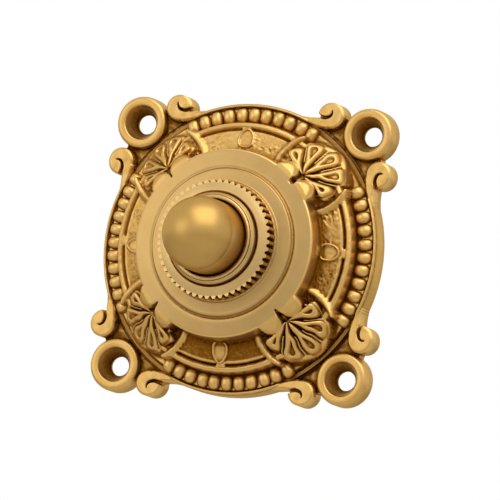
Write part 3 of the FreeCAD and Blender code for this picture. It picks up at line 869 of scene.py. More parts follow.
@dataclass
class Casting:
    """The cast plate: its ornamented front, its hollow back, its corners and its bead rows.

    Attributes:
        arch_rise, arch_dish: height of the arches' lines and depth of the dished field inside them.
        ribbon: (along, across, half width) points of the bands beside each shell.
        ribbon_half, ribbon_rise: width over which a band is round, and its height.
        fall_away: how far a form drops past its own edge, so that it is lost in its surroundings.
        rows: (radius, count) spans of the front's grid, each from where the last one ends.
        columns: (degrees from an axis, count) spans of it.
    """

    finishes: dict[str, bpy.types.Material]
    sizes: CastingSizes = CastingSizes()
    shell: ShellSizes = ShellSizes()
    petal: PetalShape = PetalShape()
    punched: PunchedGround = PunchedGround()
    patina_and_shade: CastPatinaAndShade = CastPatinaAndShade()
    notches: tuple[NotchShape, ...] = (NotchShape(0.7, 0.35, 20.35, 22.3), NotchShape(0.1, 0.3, 19.4, 22.2),
                                       NotchShape(0.1, 0.62, 19.5, 21.3), NotchShape(0.1, 0.62, 19.4, 21.4))
    arch_shapes: tuple[ArchShape, ...] = (
        ArchShape(0.0, 20.75, 24.7, 1.7, 0.5), ArchShape(-1.2, 21.7, 25.7, 1.65, 0.62),
        ArchShape(2.4, 20.9, 24.5, 1.4, 0.5), ArchShape(-0.3, 20.8, 25.3, 1.6, 0.72))
    arch_rise: float = 0.62
    arch_dish: float = 0.42
    ribbon: tuple[tuple[float, float, float], ...] = (
        (19.2, 7.4, 0.95), (21.2, 8.15, 1.0), (23.8, 8.4, 0.92), (25.8, 8.1, 0.7), (27.0, 7.7, 0.4))
    ribbon_half: float = 0.9
    ribbon_rise: float = 1.1
    fall_away: float = 9.0
    rows: tuple[tuple[float, int], ...] = (
        (15.7, 5), (16.9, 14), (19.0, 4), (20.2, 7), (20.95, 9), (25.0, 28), (27.2, 15), (27.8, 7),
        (30.5, 17), (31.75, 12))
    columns: tuple[tuple[float, int], ...] = ((5.5, 14), (27.0, 26), (45.0, 55))

    def build(self) -> None:
        """Makes every piece of the casting."""
        self.relief()
        self.back()
        for place in CornerPlace:
            Corner(self, place).build()
        BeadRows(self).build()

    def crest(self, r: Field) -> Field:
        """Height of the crest of a shell at a radius."""
        return smooth_curve(self.shell.crest, 1.0)(r)

    def panel(self, r: Field) -> Field:
        """Height of the ground between brim and moulding."""
        s = self.sizes
        return np.interp(r, [s.brim_radius, s.groove_inner], [s.panel_inner, s.panel_outer])

    def ground(self, r: Field, grooved: bool, lipped: bool) -> Field:
        """Height of the front without its ornament.

        Args:
            r: radius.
            grooved: whether the groove inside the moulding is cut here.
            lipped: whether the rim carries its raised lip here.

        Returns:
            Height at each radius.
        """
        s = self.sizes
        floor = s.groove_floor if grooved else s.panel_outer
        gutter = s.channel_height - s.gutter_depth
        # Every wall leans a little, as a cast wall does, so its corners lie beside the named radii
        if lipped:
            rim = [(s.channel_outer, s.channel_height - 0.1), (s.channel_outer + 0.15, gutter),
                   (s.lip_inner - 0.08, gutter), (s.lip_inner + 0.12, s.lip_height - 0.15),
                   (s.lip_crest, s.lip_height), (s.rim_radius, s.lip_height - 0.45)]
        else:
            rim = [(s.channel_outer - 0.7, s.channel_height - 0.1), (s.lip_inner + 0.1, s.corner_level),
                   (s.rim_radius, s.corner_level - 0.3)]
        points = [(s.brim_radius - 0.2, s.panel_inner), (s.groove_inner + 0.25, s.panel_outer - 0.05),
                  (s.groove_inner + 0.5, floor), (s.moulding_inner - 0.05, floor),
                  (s.moulding_inner + 0.2, s.moulding_height - 0.1),
                  (s.moulding_crest, s.moulding_height + 0.12),
                  (s.moulding_outer - 0.2, s.moulding_height - 0.2),
                  (s.moulding_outer + 0.25, s.channel_height), *rim]
        return smooth_curve(points, 0.18)(r)

    def height(self, r: Field, turn: Field) -> tuple[Field, Field, Field]:
        """Front of the casting from the step outwards.

        Args:
            r: radius in millimetres.
            turn: angle from +X towards +Z, in radians.

        Returns:
            Height, how rough the punched ground is there and how far the brim's clean top reaches,
            the last two from 0 to 1.
        """
        s, ground = self.sizes, self.punched
        quarter = np.floor(turn / (np.pi / 2)).astype(int) % 4
        diagonal = turn - np.floor(turn / (np.pi / 2)) * np.pi / 2 - np.pi / 4
        degrees = np.degrees(np.pi / 4 - np.abs(diagonal))
        x, z = r * np.cos(turn), r * np.sin(turn)
        along, across = r * np.cos(diagonal), r * np.sin(diagonal)

        grooved = ease(degrees, *s.groove_start) * (1 - ease(degrees, *s.groove_stop))
        lipped = 1 - ease(degrees, *s.lip_stop)
        base = self.ground(r, False, True) * (1 - grooved) + self.ground(r, True, True) * grooved
        base = base * lipped + self.ground(r, False, False) * (1 - lipped)
        arch, inside = self.arches(r, x, z)
        front = blend_max(np.maximum(base, arch), self.ribbons(r, along, across), 0.2)
        front = blend_max(front, self.shells(r, along, across, quarter), 0.2)

        rough = ease(r - s.brim_radius, *ground.inset) * (1 - ease(r, *ground.outer))
        rough = rough * (1 - ease(front - self.panel(r), *ground.proud)) * (1 - inside)
        front = front + rough * ground.marks(x, z)
        skin = ground.skin * ripple(x, z, 1.6, Grain.SKIN.value)
        front = front + skin * ease(r, s.brim_radius, 21.5)

        brim = self.brim(r, along, across)
        front = self.notched(np.maximum(front, brim), r, along, across, quarter)
        clean = 1 - ease(np.abs(front - brim), 0.1, 0.5)
        return front, rough, clean * (1 - ease(self.brim_edge(r, along, across), -0.25, 0.1))

    def arches(self, r: Field, x: Field, z: Field) -> tuple[Field, Field]:
        """Raised outline and dished field of the small arch in each panel.

        Args:
            r: radius.
            x, z: the same places along the axes.

        Returns:
            Height, and where the fields lie, from 0 to 1.
        """
        line, inside = np.full(x.shape, np.inf), np.full(x.shape, np.inf)
        for number, shape in enumerate(self.arch_shapes):
            out, side = turned_axes(x, z, 90 * number + shape.turned)
            near = (out > shape.start - 2) & (np.abs(side) < shape.half + 2)
            line[near] = np.minimum(line[near], path_distance(out[near], side[near], shape.outline(), 110))
            inside = np.minimum(inside, shape.inside(out, side))
        half = self.arch_shapes[0].line
        crown = np.sqrt(np.clip(-line, 0, half) / half)
        dish = self.arch_dish * ease(-inside, 0.15, 1.2)
        edge = self.panel(r) - 0.05 + self.arch_rise * crown - self.fall_away * ease(line, 0.0, 0.3)
        field = self.panel(r) + 0.1 - dish - self.fall_away * ease(inside, -0.1, 0.3)
        return np.maximum(edge, field), ease(-inside, -0.4, -0.05)

    def ribbons(self, r: Field, along: Field, across: Field) -> Field:
        """Height of the half-round bands that sweep from the brim to the corners of a shell.

        Args:
            r: radius.
            along, across: the same places along the nearest diagonal and across it.

        Returns:
            Height, far below the front where there is no band.
        """
        distance = path_distance(along, np.abs(across), self.ribbon, 40)
        crown = np.sqrt(np.clip(-distance, 0, self.ribbon_half) / self.ribbon_half)
        return (self.panel(r) - 0.25 + self.ribbon_rise * crown
                - self.fall_away * ease(distance, 0, 0.35))

    def shells(self, r: Field, along: Field, across: Field, quarter: Field) -> Field:
        """Height of the fan shells: petals with a teardrop hollow and thin raised lines between them.

        Args:
            r: radius.
            along, across: the same places along the nearest diagonal and across it.
            quarter: number of that diagonal, which gives each shell its own unevenness.

        Returns:
            Height, far below the front past a shell's bed.
        """
        sh = self.shell
        shifted = along + 40.0 * quarter
        u = along - sh.petal_root + sh.wobble * ripple(shifted, across, sh.wobble_size,
                                                       Grain.PETALS_ALONG.value, 16)
        v = across + sh.wobble * ripple(shifted, across, sh.wobble_size, Grain.PETALS_ACROSS.value, 16)
        outer = np.full(u.shape, np.inf)
        fall = sh.valley + (sh.bed_drop - sh.valley) * ease(np.hypot(u, v), *sh.bed_rise)
        for direction, length in zip(sh.directions, sh.lengths):
            ahead, side = turned_axes(u, v, direction)
            edge = self.petal.distance(side, ahead, length)
            petal = (sh.valley * ease(edge, -0.1, 0.28) + sh.shoulder * ease(edge, -0.6, 0.0)
                     + sh.hollow * ease(-edge, sh.line - 0.2, sh.line + 0.22))
            fall = np.minimum(fall, petal)
            outer = np.minimum(outer, edge)
        for first, second in zip(sh.directions, sh.directions[1:]):
            ahead, side = turned_axes(u, v, (first + second) / 2)
            past_end = 0.6 * np.maximum(np.abs(ahead - sh.rib_middle) - sh.rib_reach, 0)
            rib = np.hypot(side + sh.rib_aside, past_end) - sh.rib_half
            fall = np.minimum(fall, sh.rib_drop + (sh.valley - sh.rib_drop) * ease(rib, -0.05, 0.25))
        bed = np.minimum(outer - sh.bed_margin, np.hypot(along - sh.bed_middle, across) - sh.bed_radius)
        return (self.crest(r) - fall - sh.bed_edge * ease(bed, -0.5, 0.0)
                - sh.bed_fall * ease(bed, -0.05, 0.5))

    def brim_edge(self, r: Field, along: Field, across: Field) -> Field:
        """Distance from the brim's outline, its lobes included.

        Args:
            r: radius.
            along, across: the same places along the nearest diagonal and across it.

        Returns:
            The distance, negative inside.
        """
        s, sh = self.sizes, self.shell
        lean = math.radians(sh.lobe_angle)
        lobe = np.hypot(along - s.brim_radius * math.cos(lean),
                        np.abs(across) - s.brim_radius * math.sin(lean)) - sh.lobe_radius
        return np.minimum(r - s.brim_radius, lobe)

    def brim(self, r: Field, along: Field, across: Field) -> Field:
        """Height of the turned brim, with the two lobes that lap over each shell.

        Args:
            r: radius.
            along, across: the same places along the nearest diagonal and across it.

        Returns:
            Height, far below the front past the brim.
        """
        s = self.sizes
        top = smooth_curve([(s.skin_start, s.face_height - 0.06), (s.face_end, s.face_height - 0.05),
                            (s.face_end + 0.1, s.face_height - 0.01),
                            (s.step_radius - 0.25, s.step_height + 0.08),
                            (s.step_radius, s.step_foot + 0.02), (s.step_radius + 0.3, s.step_foot - 0.05),
                            (s.ledge_end, s.step_foot), (s.brim_radius - 0.3, s.brim_height),
                            *s.lobe_fall], 0.32)(r)
        edge = self.brim_edge(r, along, across)
        rounding = 0.12 + 0.7 * ease(r, s.brim_radius - 0.3, s.brim_radius + 1.4)
        rounded_off = rounding * ease(edge, -0.5 - rounding, 0.0) ** 2
        return top - rounded_off - self.fall_away * ease(edge, -0.08, 0.42)

    def notched(self, front: Field, r: Field, along: Field, across: Field, quarter: Field) -> Field:
        """Cuts the notch between the lobes of each shell.

        Args:
            front: height before the cut.
            r: radius.
            along, across: the same places along the nearest diagonal and across it.
            quarter: number of that diagonal.

        Returns:
            Height after the cut.
        """
        floor = self.crest(r) - self.shell.notch_depth
        for number, shape in enumerate(self.notches):
            edge = teardrop_distance(across, -along, -shape.end, -shape.start, shape.mouth, shape.root)
            cut = (1 - ease(edge, -0.12, 0.14)) * (quarter == number)
            front = np.where(front > floor, front + (floor - front) * cut, front)
        return front

    def open_rim(self, r: Field, turn: Field, front: Field) -> Field:
        """Where the groove between a shell and its corner lies, from 0 to 1.

        Args:
            r: radius.
            turn: angle, in radians.
            front: height of the front.

        Returns:
            Its share of each place.
        """
        diagonal = ease(np.abs(np.sin(2 * turn)), 0.72, 0.83)
        return diagonal * ease(r, 29.5, 30.2) * (1 - ease(front, 4.35, 4.9))

    def marks(self, r: Field, turn: Field, front: Field, rough: Field, clean: Field) -> tuple[Field, Field]:
        """Patina and rubbed places of the front, from how far it lies under its surroundings, with painted
        shade added towards the bottom and the lower right.

        Args:
            r: radii, one row for each.
            turn: angles in radians, one column for each.
            front: height of the front.
            rough, clean: where the punched ground and the brim's clean top lie, from 0 to 1.

        Returns:
            Patina with its painted shade, and rubbed share of each place.
        """
        s, p = self.sizes, self.patina_and_shade
        near = blurred(front, r[:, 0], turn[0], p.near_reach)
        wide = blurred(front, r[:, 0], turn[0], p.wide_reach)
        brim_wall = ease(r - s.brim_radius, -0.3, 0.0) * (1 - ease(r - s.brim_radius, 0.5, 1.1))
        patina_and_shade = np.clip(p.near_gain * (near - front) + p.wide_gain * (wide - front) + p.base, 0, 1)
        patina_and_shade = patina_and_shade * (1 - p.wall_loss * brim_wall)
        # painted shade: the punched ground is darkened more towards the bottom
        lower = 0.5 - 0.5 * np.sin(turn + 0.25)
        punched_patina_and_shade = np.minimum(patina_and_shade * p.stain_gain, p.stain_cap) + p.stain_base + p.bottom_shade * lower
        patina_and_shade = patina_and_shade * (1 - rough) + punched_patina_and_shade * rough
        patina_and_shade = np.where(r > s.moulding_outer, np.minimum(patina_and_shade, p.channel_cap), patina_and_shade)
        # painted shade: 1 at the lower right and -1 at the upper left, which darkens or lightens the hollows
        # there
        lower_right_shade = np.cos(turn + np.pi / 4)
        # the groove beside each corner: patina, with painted shade that is darkest at the lower right
        rim = self.open_rim(r, turn, front)
        patina_and_shade = (patina_and_shade * (p.shade_base + p.shade_lean * lower_right_shade) * (1 - rim)
                  + (p.rim_base + p.rim_lean * lower_right_shade) * rim)
        patina_and_shade = patina_and_shade * (1 - p.brim_loss * clean)
        # patina and painted shade in the crease at the step's foot, heavier at the lower right
        step = np.exp(-((r - s.step_radius - p.step_at) / p.step_width) ** 2)
        patina_and_shade = patina_and_shade + (p.step_base + p.step_lean * lower_right_shade) * step
        return patina_and_shade, np.clip(p.rub_gain * (front - near), 0, 1) * (1 - rim)

    def relief(self) -> None:
        """Makes the front of the plate from the step to the rim, as one closed skin."""
        s = self.sizes
        r = np.append(spaced(s.skin_start, self.rows), s.rim_radius)
        eighth = spaced(0.0, self.columns)
        quarter = np.concatenate([eighth, 90 - eighth[1:], [45.0]])
        turn = np.radians(np.sort(np.concatenate([quarter + 90 * k for k in range(4)])))[None, :]
        front, rough, clean = self.height(r[:, None], turn)
        patina_and_shade, rubbed = self.marks(r[:, None], turn, front, rough, clean)
        # The rim's outer wall, its foot, and the skin's own back, hidden inside the turned back
        under = np.array([
            (s.rim_radius, 3.6), (s.rim_radius, 1.6), (s.rim_radius, 0.0), (s.rim_radius - 0.4, 0.0),
            (s.rim_radius - 0.6, 1.6), (s.rim_radius - 1.8, 2.9), (27.0, 3.0), (25.2, 6.4), (20.6, 7.9),
            (19.4, 12.4), (s.skin_start, 13.4)])
        flat = np.ones((len(under), turn.size))
        radii = np.concatenate([r, under[:, 0]])[:, None]
        heights = np.concatenate([front, under[:, 1:] * flat])
        points = np.stack([radii * np.cos(turn), -heights, radii * np.sin(turn)], axis=-1)
        number = np.arange(points.shape[0] * points.shape[1]).reshape(points.shape[:2])
        mesh = make_mesh("casting_relief", points.reshape(-1, 3), closed_quads(number),
                         {"patina_and_shade": np.concatenate([patina_and_shade, 0.1 * flat]),
                          "rubbed": np.concatenate([rubbed, 0 * flat])})
        add_piece("casting_relief", mesh, self.finishes["cast"], Body.HOUSING, "escutcheon",
                  self.finishes["turned"],
                  lambda r, h: (r < s.brim_radius - 0.35) & (h > s.brim_height - 0.3))

    def back(self) -> None:
        """Makes the boss and the hollow back of the plate, turned."""
        s = self.sizes
        inner = s.rim_radius - s.rim_wall
        profile = [(s.bore, s.boss_face - 2.0), (s.bore, s.boss_face), (s.ring_radius, s.boss_face, 0.2),
                   (s.ring_radius + 0.35, s.boss_face - 0.75, 0.2),
                   (s.face_end + 0.05, s.face_height - 0.02), (s.face_end + 0.05, 13.6), (19.8, 12.9),
                   (20.0, 8.3), (25.0, 7.0), (26.4, 3.6), (31.2, 3.5), (31.36, 0.0), (inner, 0.0),
                   (inner, 2.2, 0.5), *s.hollow, (s.bore, 13.0)]
        # painted shade in a narrow band at the foot of the milled ring
        mesh = turned_mesh("casting_back", profile, 288,
                           lambda r, h: 0.12 * (1 - ease(np.abs(r - 13.2), 0.0, 0.5)) * (h > 14))
        mesh.set_sharp_from_angle(angle=CRISP)
        add_piece("casting_back", mesh, self.finishes["back"], Body.HOUSING, "escutcheon",
                  self.finishes["turned"], lambda r, h: (r < s.face_end + 0.1) & (h > s.step_height))


def blurred(values: Field, r: Field, turn: Field, reach: float) -> Field:
    """Mean of a polar grid over a distance each way.

    Args:
        values: one row for each radius and one column for each angle.
        r: the radii.
        turn: the angles, in radians.
        reach: distance in millimetres.

    Returns:
        The mean at each place.
    """
    spread = np.gradient(r)
    near = np.exp(-((r[:, None] - r[None, :]) / reach) ** 2) * spread[None, :]
    mixed = (near / near.sum(axis=1, keepdims=True)) @ values
    middle = 26.0
    gap = np.abs(turn[:, None] - turn[None, :])
    gap = np.minimum(gap, 2 * np.pi - gap) * middle
    step = np.gradient(turn)
    beside = np.exp(-(gap / reach) ** 2) * step[None, :]
    return mixed @ (beside / beside.sum(axis=1, keepdims=True)).T


class CornerPlace(Enum):
    """Corners of the plate: name, signs of x and z, ripple seed and how dark its web's groove is, darkest at
    the lower right as painted shade.
    """

    UPPER_RIGHT = ("corner_upper_right", 1, 1, 40, 0.38)
    UPPER_LEFT = ("corner_upper_left", -1, 1, 41, 0.25)
    LOWER_LEFT = ("corner_lower_left", -1, -1, 42, 0.5)
    LOWER_RIGHT = ("corner_lower_right", 1, -1, 43, 0.9)


@dataclass
class Corner:
    """One screw lug with its two scrolls and the web between them, drawn at the upper right.

    Attributes:
        casting: the plate that it belongs to.
        place: which corner it is.
        hole_at, hole_radius: middle of the screw hole on both axes, and its radius.
        lug_radius: outer radius of the lug.
        scroll_x, scroll_z, scroll_radius: the scroll's middle and radius.
        scroll_top, scroll_edge: its height and how far its edge is rounded down.
        slot_depth: depth of the cut that makes it a scroll.
        web_top: height of the low web.
        first, last, step: span and step of the grid on both axes.
        inner: radius at which the corner starts, under the rim.
        seam: width over which its patina becomes its own.
        lap: how far its foot stays off the wall under the rim's foot.
        lug_profile: (distance from the hole's middle, height) points.
        hook, tail: (x, z, half width) points of the scroll's cut and of the band that runs into it.
        web_outline: (x, z) corners of the web.
    """

    casting: Casting
    place: CornerPlace
    hole_at: float = 26.55
    hole_radius: float = 2.13
    lug_radius: float = 5.8
    scroll_x: float = 17.8
    scroll_z: float = 30.15
    scroll_radius: float = 2.95
    scroll_top: float = 4.9
    scroll_edge: float = 0.35
    slot_depth: float = 1.2
    web_top: float = 2.8
    first: float = 9.0
    last: float = 33.7
    step: float = 0.105
    inner: float = 31.15
    seam: float = 1.1
    lap: float = 0.03
    lug_profile: tuple[tuple[float, float], ...] = (
        (2.0, 0.6), (2.13, 0.9), (2.4, 1.5), (2.85, 2.35), (3.35, 3.35), (3.78, 4.22), (3.95, 4.36),
        (4.6, 4.42), (5.1, 4.38), (5.45, 4.2), (5.68, 3.8), (5.78, 3.2), (6.0, 0.5))
    hook: tuple[tuple[float, float, float], ...] = (
        (13.8, 30.3, 0.5), (15.0, 30.0, 0.42), (16.4, 29.65, 0.38), (17.6, 29.95, 0.3), (18.1, 30.6, 0.2),
        (18.1, 31.2, 0.1))
    tail: tuple[tuple[float, float, float], ...] = (
        (9.4, 29.8, 0.3), (11.6, 29.25, 0.5), (13.2, 28.85, 0.75), (15.0, 28.6, 1.05), (16.8, 28.45, 1.2))
    web_outline: tuple[tuple[float, float], ...] = (
        (15.3, 26.9), (17.4, 30.4), (26.6, 27.6), (27.6, 26.6), (30.4, 17.4), (26.9, 15.3))

    def build(self) -> None:
        """Makes the corner's one closed mesh and adds it."""
        name, flip_x, flip_z, _, _ = self.place.value
        at = np.arange(self.first, self.last, self.step)
        x, z = np.meshgrid(at, at, indexing="ij")
        inside = self.outline(x, z) < 0
        keep = inside[:-1, :-1] | inside[1:, :-1] | inside[:-1, 1:] | inside[1:, 1:]
        used = np.zeros(x.shape, bool)
        for di in (0, 1):
            for dj in (0, 1):
                used[di:di + keep.shape[0], dj:dj + keep.shape[1]] |= keep
        px, pz = self.pulled(x, z, used & ~inside)
        top = self.height(px, pz)
        own = ease(np.hypot(x, z), self.inner, self.inner + self.seam)
        patina_and_shade, rubbed = self.marks(top, used, own)
        number = np.full(x.shape, -1)
        number[used] = np.arange(used.sum())
        quads = np.stack([number[:-1, :-1], number[1:, :-1], number[1:, 1:], number[:-1, 1:]], axis=-1)[keep]
        front = np.stack([px[used] * flip_x, -top[used], pz[used] * flip_z], axis=-1)
        foot = front.copy()
        under_rim = np.hypot(foot[:, 0], foot[:, 2]) < self.casting.sizes.rim_radius + 0.05
        foot[:, 1] = np.where(under_rim, -self.lap, 0.0)
        count = len(front)
        every = np.vstack([quads, quads[:, ::-1] + count, self.walls(quads, count)])
        marks = {"patina_and_shade": np.concatenate([patina_and_shade[used], np.full(count, 0.15)]),
                 "rubbed": np.concatenate([rubbed[used], np.zeros(count)])}
        mesh = make_mesh(name, np.vstack([front, foot]), every, marks)
        add_piece(name, mesh, self.casting.finishes["cast"], Body.HOUSING, "escutcheon")

    def walls(self, quads: Field, count: int) -> Field:
        """Quads that join the front's free edges to the foot below them.

        Args:
            quads: the front's quads.
            count: how far the foot's point numbers lie past the front's.

        Returns:
            One quad for each free edge.
        """
        edges = np.concatenate([quads[:, [i, (i + 1) % 4]] for i in range(4)])
        keys = np.sort(edges, axis=1)
        _, first, times = np.unique(keys, axis=0, return_index=True, return_counts=True)
        free = edges[first[times == 1]]
        return np.stack([free[:, 1], free[:, 0], free[:, 0] + count, free[:, 1] + count], axis=-1)

    def swapped(self, shape: Callable[[Field, Field], Field], x: Field, z: Field) -> Field:
        """A form and its mirror image over the diagonal, whichever is nearer."""
        return np.minimum(shape(x, z), shape(z, x))

    def head(self, x: Field, z: Field) -> Field:
        """Distance from the scroll, its tail included."""
        disc = np.hypot(x - self.scroll_x, (z - self.scroll_z) * 1.04) - self.scroll_radius
        return np.minimum(disc, path_distance(x, z, self.tail, 16))

    def slot(self, x: Field, z: Field) -> Field:
        """Distance from the cut that makes the scroll."""
        return path_distance(x, z, self.hook, 20)

    def lug(self, x: Field, z: Field) -> Field:
        """Distance from the middle of the screw hole."""
        return np.hypot(x - self.hole_at, z - self.hole_at)

    def web(self, x: Field, z: Field) -> Field:
        """Distance from the low web that fills the corner.

        Args:
            x, z: places in millimetres.

        Returns:
            The distance, negative inside.
        """
        distance = np.full(x.shape, -np.inf)
        for (ax, az), (bx, bz) in zip(self.web_outline, self.web_outline[1:] + self.web_outline[:1]):
            length = math.hypot(bx - ax, bz - az)
            distance = np.maximum(distance, ((bx - ax) * (z - az) - (bz - az) * (x - ax)) / length)
        return distance - 0.5

    def outline(self, x: Field, z: Field) -> Field:
        """Distance from the corner's silhouette.

        Args:
            x, z: places in millimetres.

        Returns:
            The distance, negative inside.
        """
        solid = np.minimum(self.swapped(self.head, x, z), self.web(x, z))
        solid = np.minimum(solid, self.lug(x, z) - self.lug_radius)
        solid = np.maximum(solid, self.inner - np.hypot(x, z))
        return np.maximum(solid, self.hole_radius - self.lug(x, z))

    def pulled(self, x: Field, z: Field, outside: Field) -> tuple[Field, Field]:
        """Places of the grid with those just outside the silhouette pulled on to it.

        Args:
            x, z: places in millimetres.
            outside: which of them to pull.

        Returns:
            The new places.
        """
        px, pz = x.copy(), z.copy()
        small = 0.01
        for _ in range(3):
            qx, qz = px[outside], pz[outside]
            here = self.outline(qx, qz)
            gx = (self.outline(qx + small, qz) - self.outline(qx - small, qz)) / (2 * small)
            gz = (self.outline(qx, qz + small) - self.outline(qx, qz - small)) / (2 * small)
            size = np.maximum(gx * gx + gz * gz, 0.25)
            px[outside] = qx - here * gx / size
            pz[outside] = qz - here * gz / size
        return px, pz

    def height(self, x: Field, z: Field) -> Field:
        """Front of the corner.

        Args:
            x, z: places in millimetres.

        Returns:
            Height at each place.
        """
        seed = self.place.value[3]
        web = self.web_top + 0.06 * ripple(x, z, 1.8, seed)
        edge = self.swapped(self.head, x, z)
        scroll = self.scroll_top - self.scroll_edge * ease(edge, -0.45, 0.0) - 5 * ease(edge, 0.0, 0.25)
        cut = 1 - ease(self.swapped(self.slot, x, z), -0.16, 0.08)
        scroll = scroll - self.slot_depth * cut + 0.02 * ripple(x, z, 2.5, seed + 9)
        away = self.lug(x, z)
        lug = smooth_curve(self.lug_profile, 0.16)(away)
        cup = 1 - ease(away, 4.6, 4.8)
        return blend_max(blend_max(web, scroll, 0.25), lug, 0.25) * (1 - cup) + lug * cup

    def marks(self, top: Field, used: Field, own: Field) -> tuple[Field, Field]:
        """Patina and rubbed places, from how far the front lies under its surroundings, with painted shade in
        the groove beside the rim that differs from corner to corner.

        Args:
            top: height of the front.
            used: which places the corner covers.
            own: 0 in the groove beside the rim and 1 past it.

        Returns:
            Patina with its painted shade, and rubbed share of each place, from 0 to 1.
        """
        filled = np.where(used, top, np.where(own > 0, 1.5, self.web_top + 0.3))
        near, wide = self.mean(filled, 0.4), self.mean(filled, 1.3)
        low = 1 - ease(filled, self.web_top + 0.15, self.web_top + 0.9)
        patina_and_shade = np.clip(1.05 * (near - filled) + 0.36 * (wide - filled) + 0.05 + 0.22 * low, 0, 0.85)
        # painted shade: the groove's darkness is set for each corner, most at the lower right
        groove = self.place.value[4] * low
        patina_and_shade = patina_and_shade * own + np.maximum(groove, patina_and_shade * (1 - low)) * (1 - own)
        return patina_and_shade, np.clip(1.2 * (filled - near), 0, 1) * own

    def mean(self, values: Field, reach: float) -> Field:
        """Mean of the grid over a distance each way.

        Args:
            values: one for each place of the grid.
            reach: distance in millimetres.

        Returns:
            The mean at each place.
        """
        at = np.arange(values.shape[0]) * self.step
        near = np.exp(-((at[:, None] - at[None, :]) / reach) ** 2)
        near /= near.sum(axis=1, keepdims=True)
        return near @ values @ near.T


class CopyInput(Enum):
    """Named inputs of the tree that sets copies round the axis."""

    COPIES = ("Copies", "NodeSocketInt")
    START = ("Start", "NodeSocketFloat")
    STEP = ("Step", "NodeSocketFloat")
    JITTER = ("Jitter", "NodeSocketFloat")
    SWELL = ("Swell", "NodeSocketFloat")
    SEED = ("Seed", "NodeSocketInt")
    MATERIAL = ("Material", "NodeSocketMaterial")


def ring_tree() -> bpy.types.NodeTree:
    """Geometry tree that sets copies of a mesh round the axis of the press.

    Returns:
        The tree, with one named input for each member of CopyInput.
    """
    tree = bpy.data.node_groups.new("copies_round_the_axis", "GeometryNodeTree")
    tree.interface.new_socket("Geometry", in_out="INPUT", socket_type="NodeSocketGeometry")
    for item in CopyInput:
        tree.interface.new_socket(item.value[0], in_out="INPUT", socket_type=item.value[1])
    tree.interface.new_socket("Geometry", in_out="OUTPUT", socket_type="NodeSocketGeometry")
    given = add_node(tree, "NodeGroupInput").outputs
    index = add_node(tree, "GeometryNodeInputIndex").outputs[0]
    low = add_node(tree, "ShaderNodeMath", {0: given["Jitter"], 1: -1.0}, operation="MULTIPLY").outputs[0]
    stray = add_node(tree, "FunctionNodeRandomValue", {2: low, 3: given["Jitter"], 8: given["Seed"]},
                     data_type="FLOAT").outputs[1]
    count = add_node(tree, "ShaderNodeMath", {0: index, 1: given["Step"], 2: given["Start"]},
                     operation="MULTIPLY_ADD").outputs[0]
    angle = add_node(tree, "ShaderNodeMath", {0: count, 1: stray}, operation="ADD").outputs[0]
    back = add_node(tree, "ShaderNodeMath", {0: angle, 1: -1.0}, operation="MULTIPLY").outputs[0]
    turn = add_node(tree, "ShaderNodeCombineXYZ", {"Y": back}).outputs[0]
    points = add_node(tree, "GeometryNodePoints", {"Count": given["Copies"]}).outputs[0]
    copies = add_node(tree, "GeometryNodeInstanceOnPoints", {"Points": points, "Instance": given["Geometry"],
                                                             "Rotation": turn}).outputs[0]
    real = add_node(tree, "GeometryNodeRealizeInstances", {0: copies}).outputs[0]
    place = add_node(tree, "GeometryNodeInputPosition").outputs[0]
    cloud = add_node(tree, "ShaderNodeTexNoise", {"Vector": place, "Scale": per_mm(2.6)}).outputs["Color"]
    level = add_node(tree, "ShaderNodeVectorMath", {0: cloud, 1: (0.5, 0.5, 0.5)},
                     operation="SUBTRACT").outputs[0]
    shift = add_node(tree, "ShaderNodeVectorMath", {0: level, "Scale": given["Swell"]},
                     operation="SCALE").outputs[0]
    moved = add_node(tree, "GeometryNodeSetPosition", {"Geometry": real, "Offset": shift}).outputs[0]
    dressed = add_node(tree, "GeometryNodeSetMaterial", {"Geometry": moved, "Material": given["Material"]})
    add_node(tree, "NodeGroupOutput", {"Geometry": dressed.outputs[0]})
    return tree


def grown(mesh: bpy.types.Mesh, tree: bpy.types.NodeTree, values: dict[str, object]) -> bpy.types.Mesh:
    """Plain mesh that a geometry tree makes from another.

    Args:
        mesh: what the tree starts from.
        tree: the geometry tree.
        values: a value for each of its named inputs.

    Returns:
        The result, with nothing live on it.
    """
    holder = bpy.data.objects.new("holder", mesh)
    bpy.context.scene.collection.objects.link(holder)
    modifier = holder.modifiers.new("grow", "NODES")
    modifier.node_group = tree
    for item in tree.interface.items_tree:
        if item.item_type == "SOCKET" and item.in_out == "INPUT" and item.name in values:
            modifier[item.identifier] = values[item.name]
    bpy.context.view_layer.update()
    result = bpy.data.meshes.new_from_object(holder.evaluated_get(bpy.context.evaluated_depsgraph_get()))
    holder.modifiers.remove(modifier)
    bpy.data.objects.remove(holder)
    return result


def joined(name: str, meshes: Sequence[bpy.types.Mesh]) -> bpy.types.Mesh:
    """One mesh that holds several, with their marks of patina, painted shade and rubbing."""
    points, faces, patina_and_shade, rubbed = [], [], [], []
    for mesh in meshes:
        base = len(points)
        points += [tuple(v.co / MM) for v in mesh.vertices]
        faces += [[base + v for v in p.vertices] for p in mesh.polygons]
        for store, key in ((patina_and_shade, "patina_and_shade"), (rubbed, "rubbed")):
            values = np.zeros(len(mesh.vertices), np.float32)
            if key in mesh.attributes:
                mesh.attributes[key].data.foreach_get("value", values)
            store += values.tolist()
    result = bpy.data.meshes.new(name)
    result.from_pydata([tuple(c * MM for c in p) for p in points], [], faces)
    for key, values in (("patina_and_shade", patina_and_shade), ("rubbed", rubbed)):
        result.attributes.new(key, "FLOAT", "POINT").data.foreach_set("value", values)
    result.polygons.foreach_set("use_smooth", [True] * len(result.polygons))
    result.update()
    return result


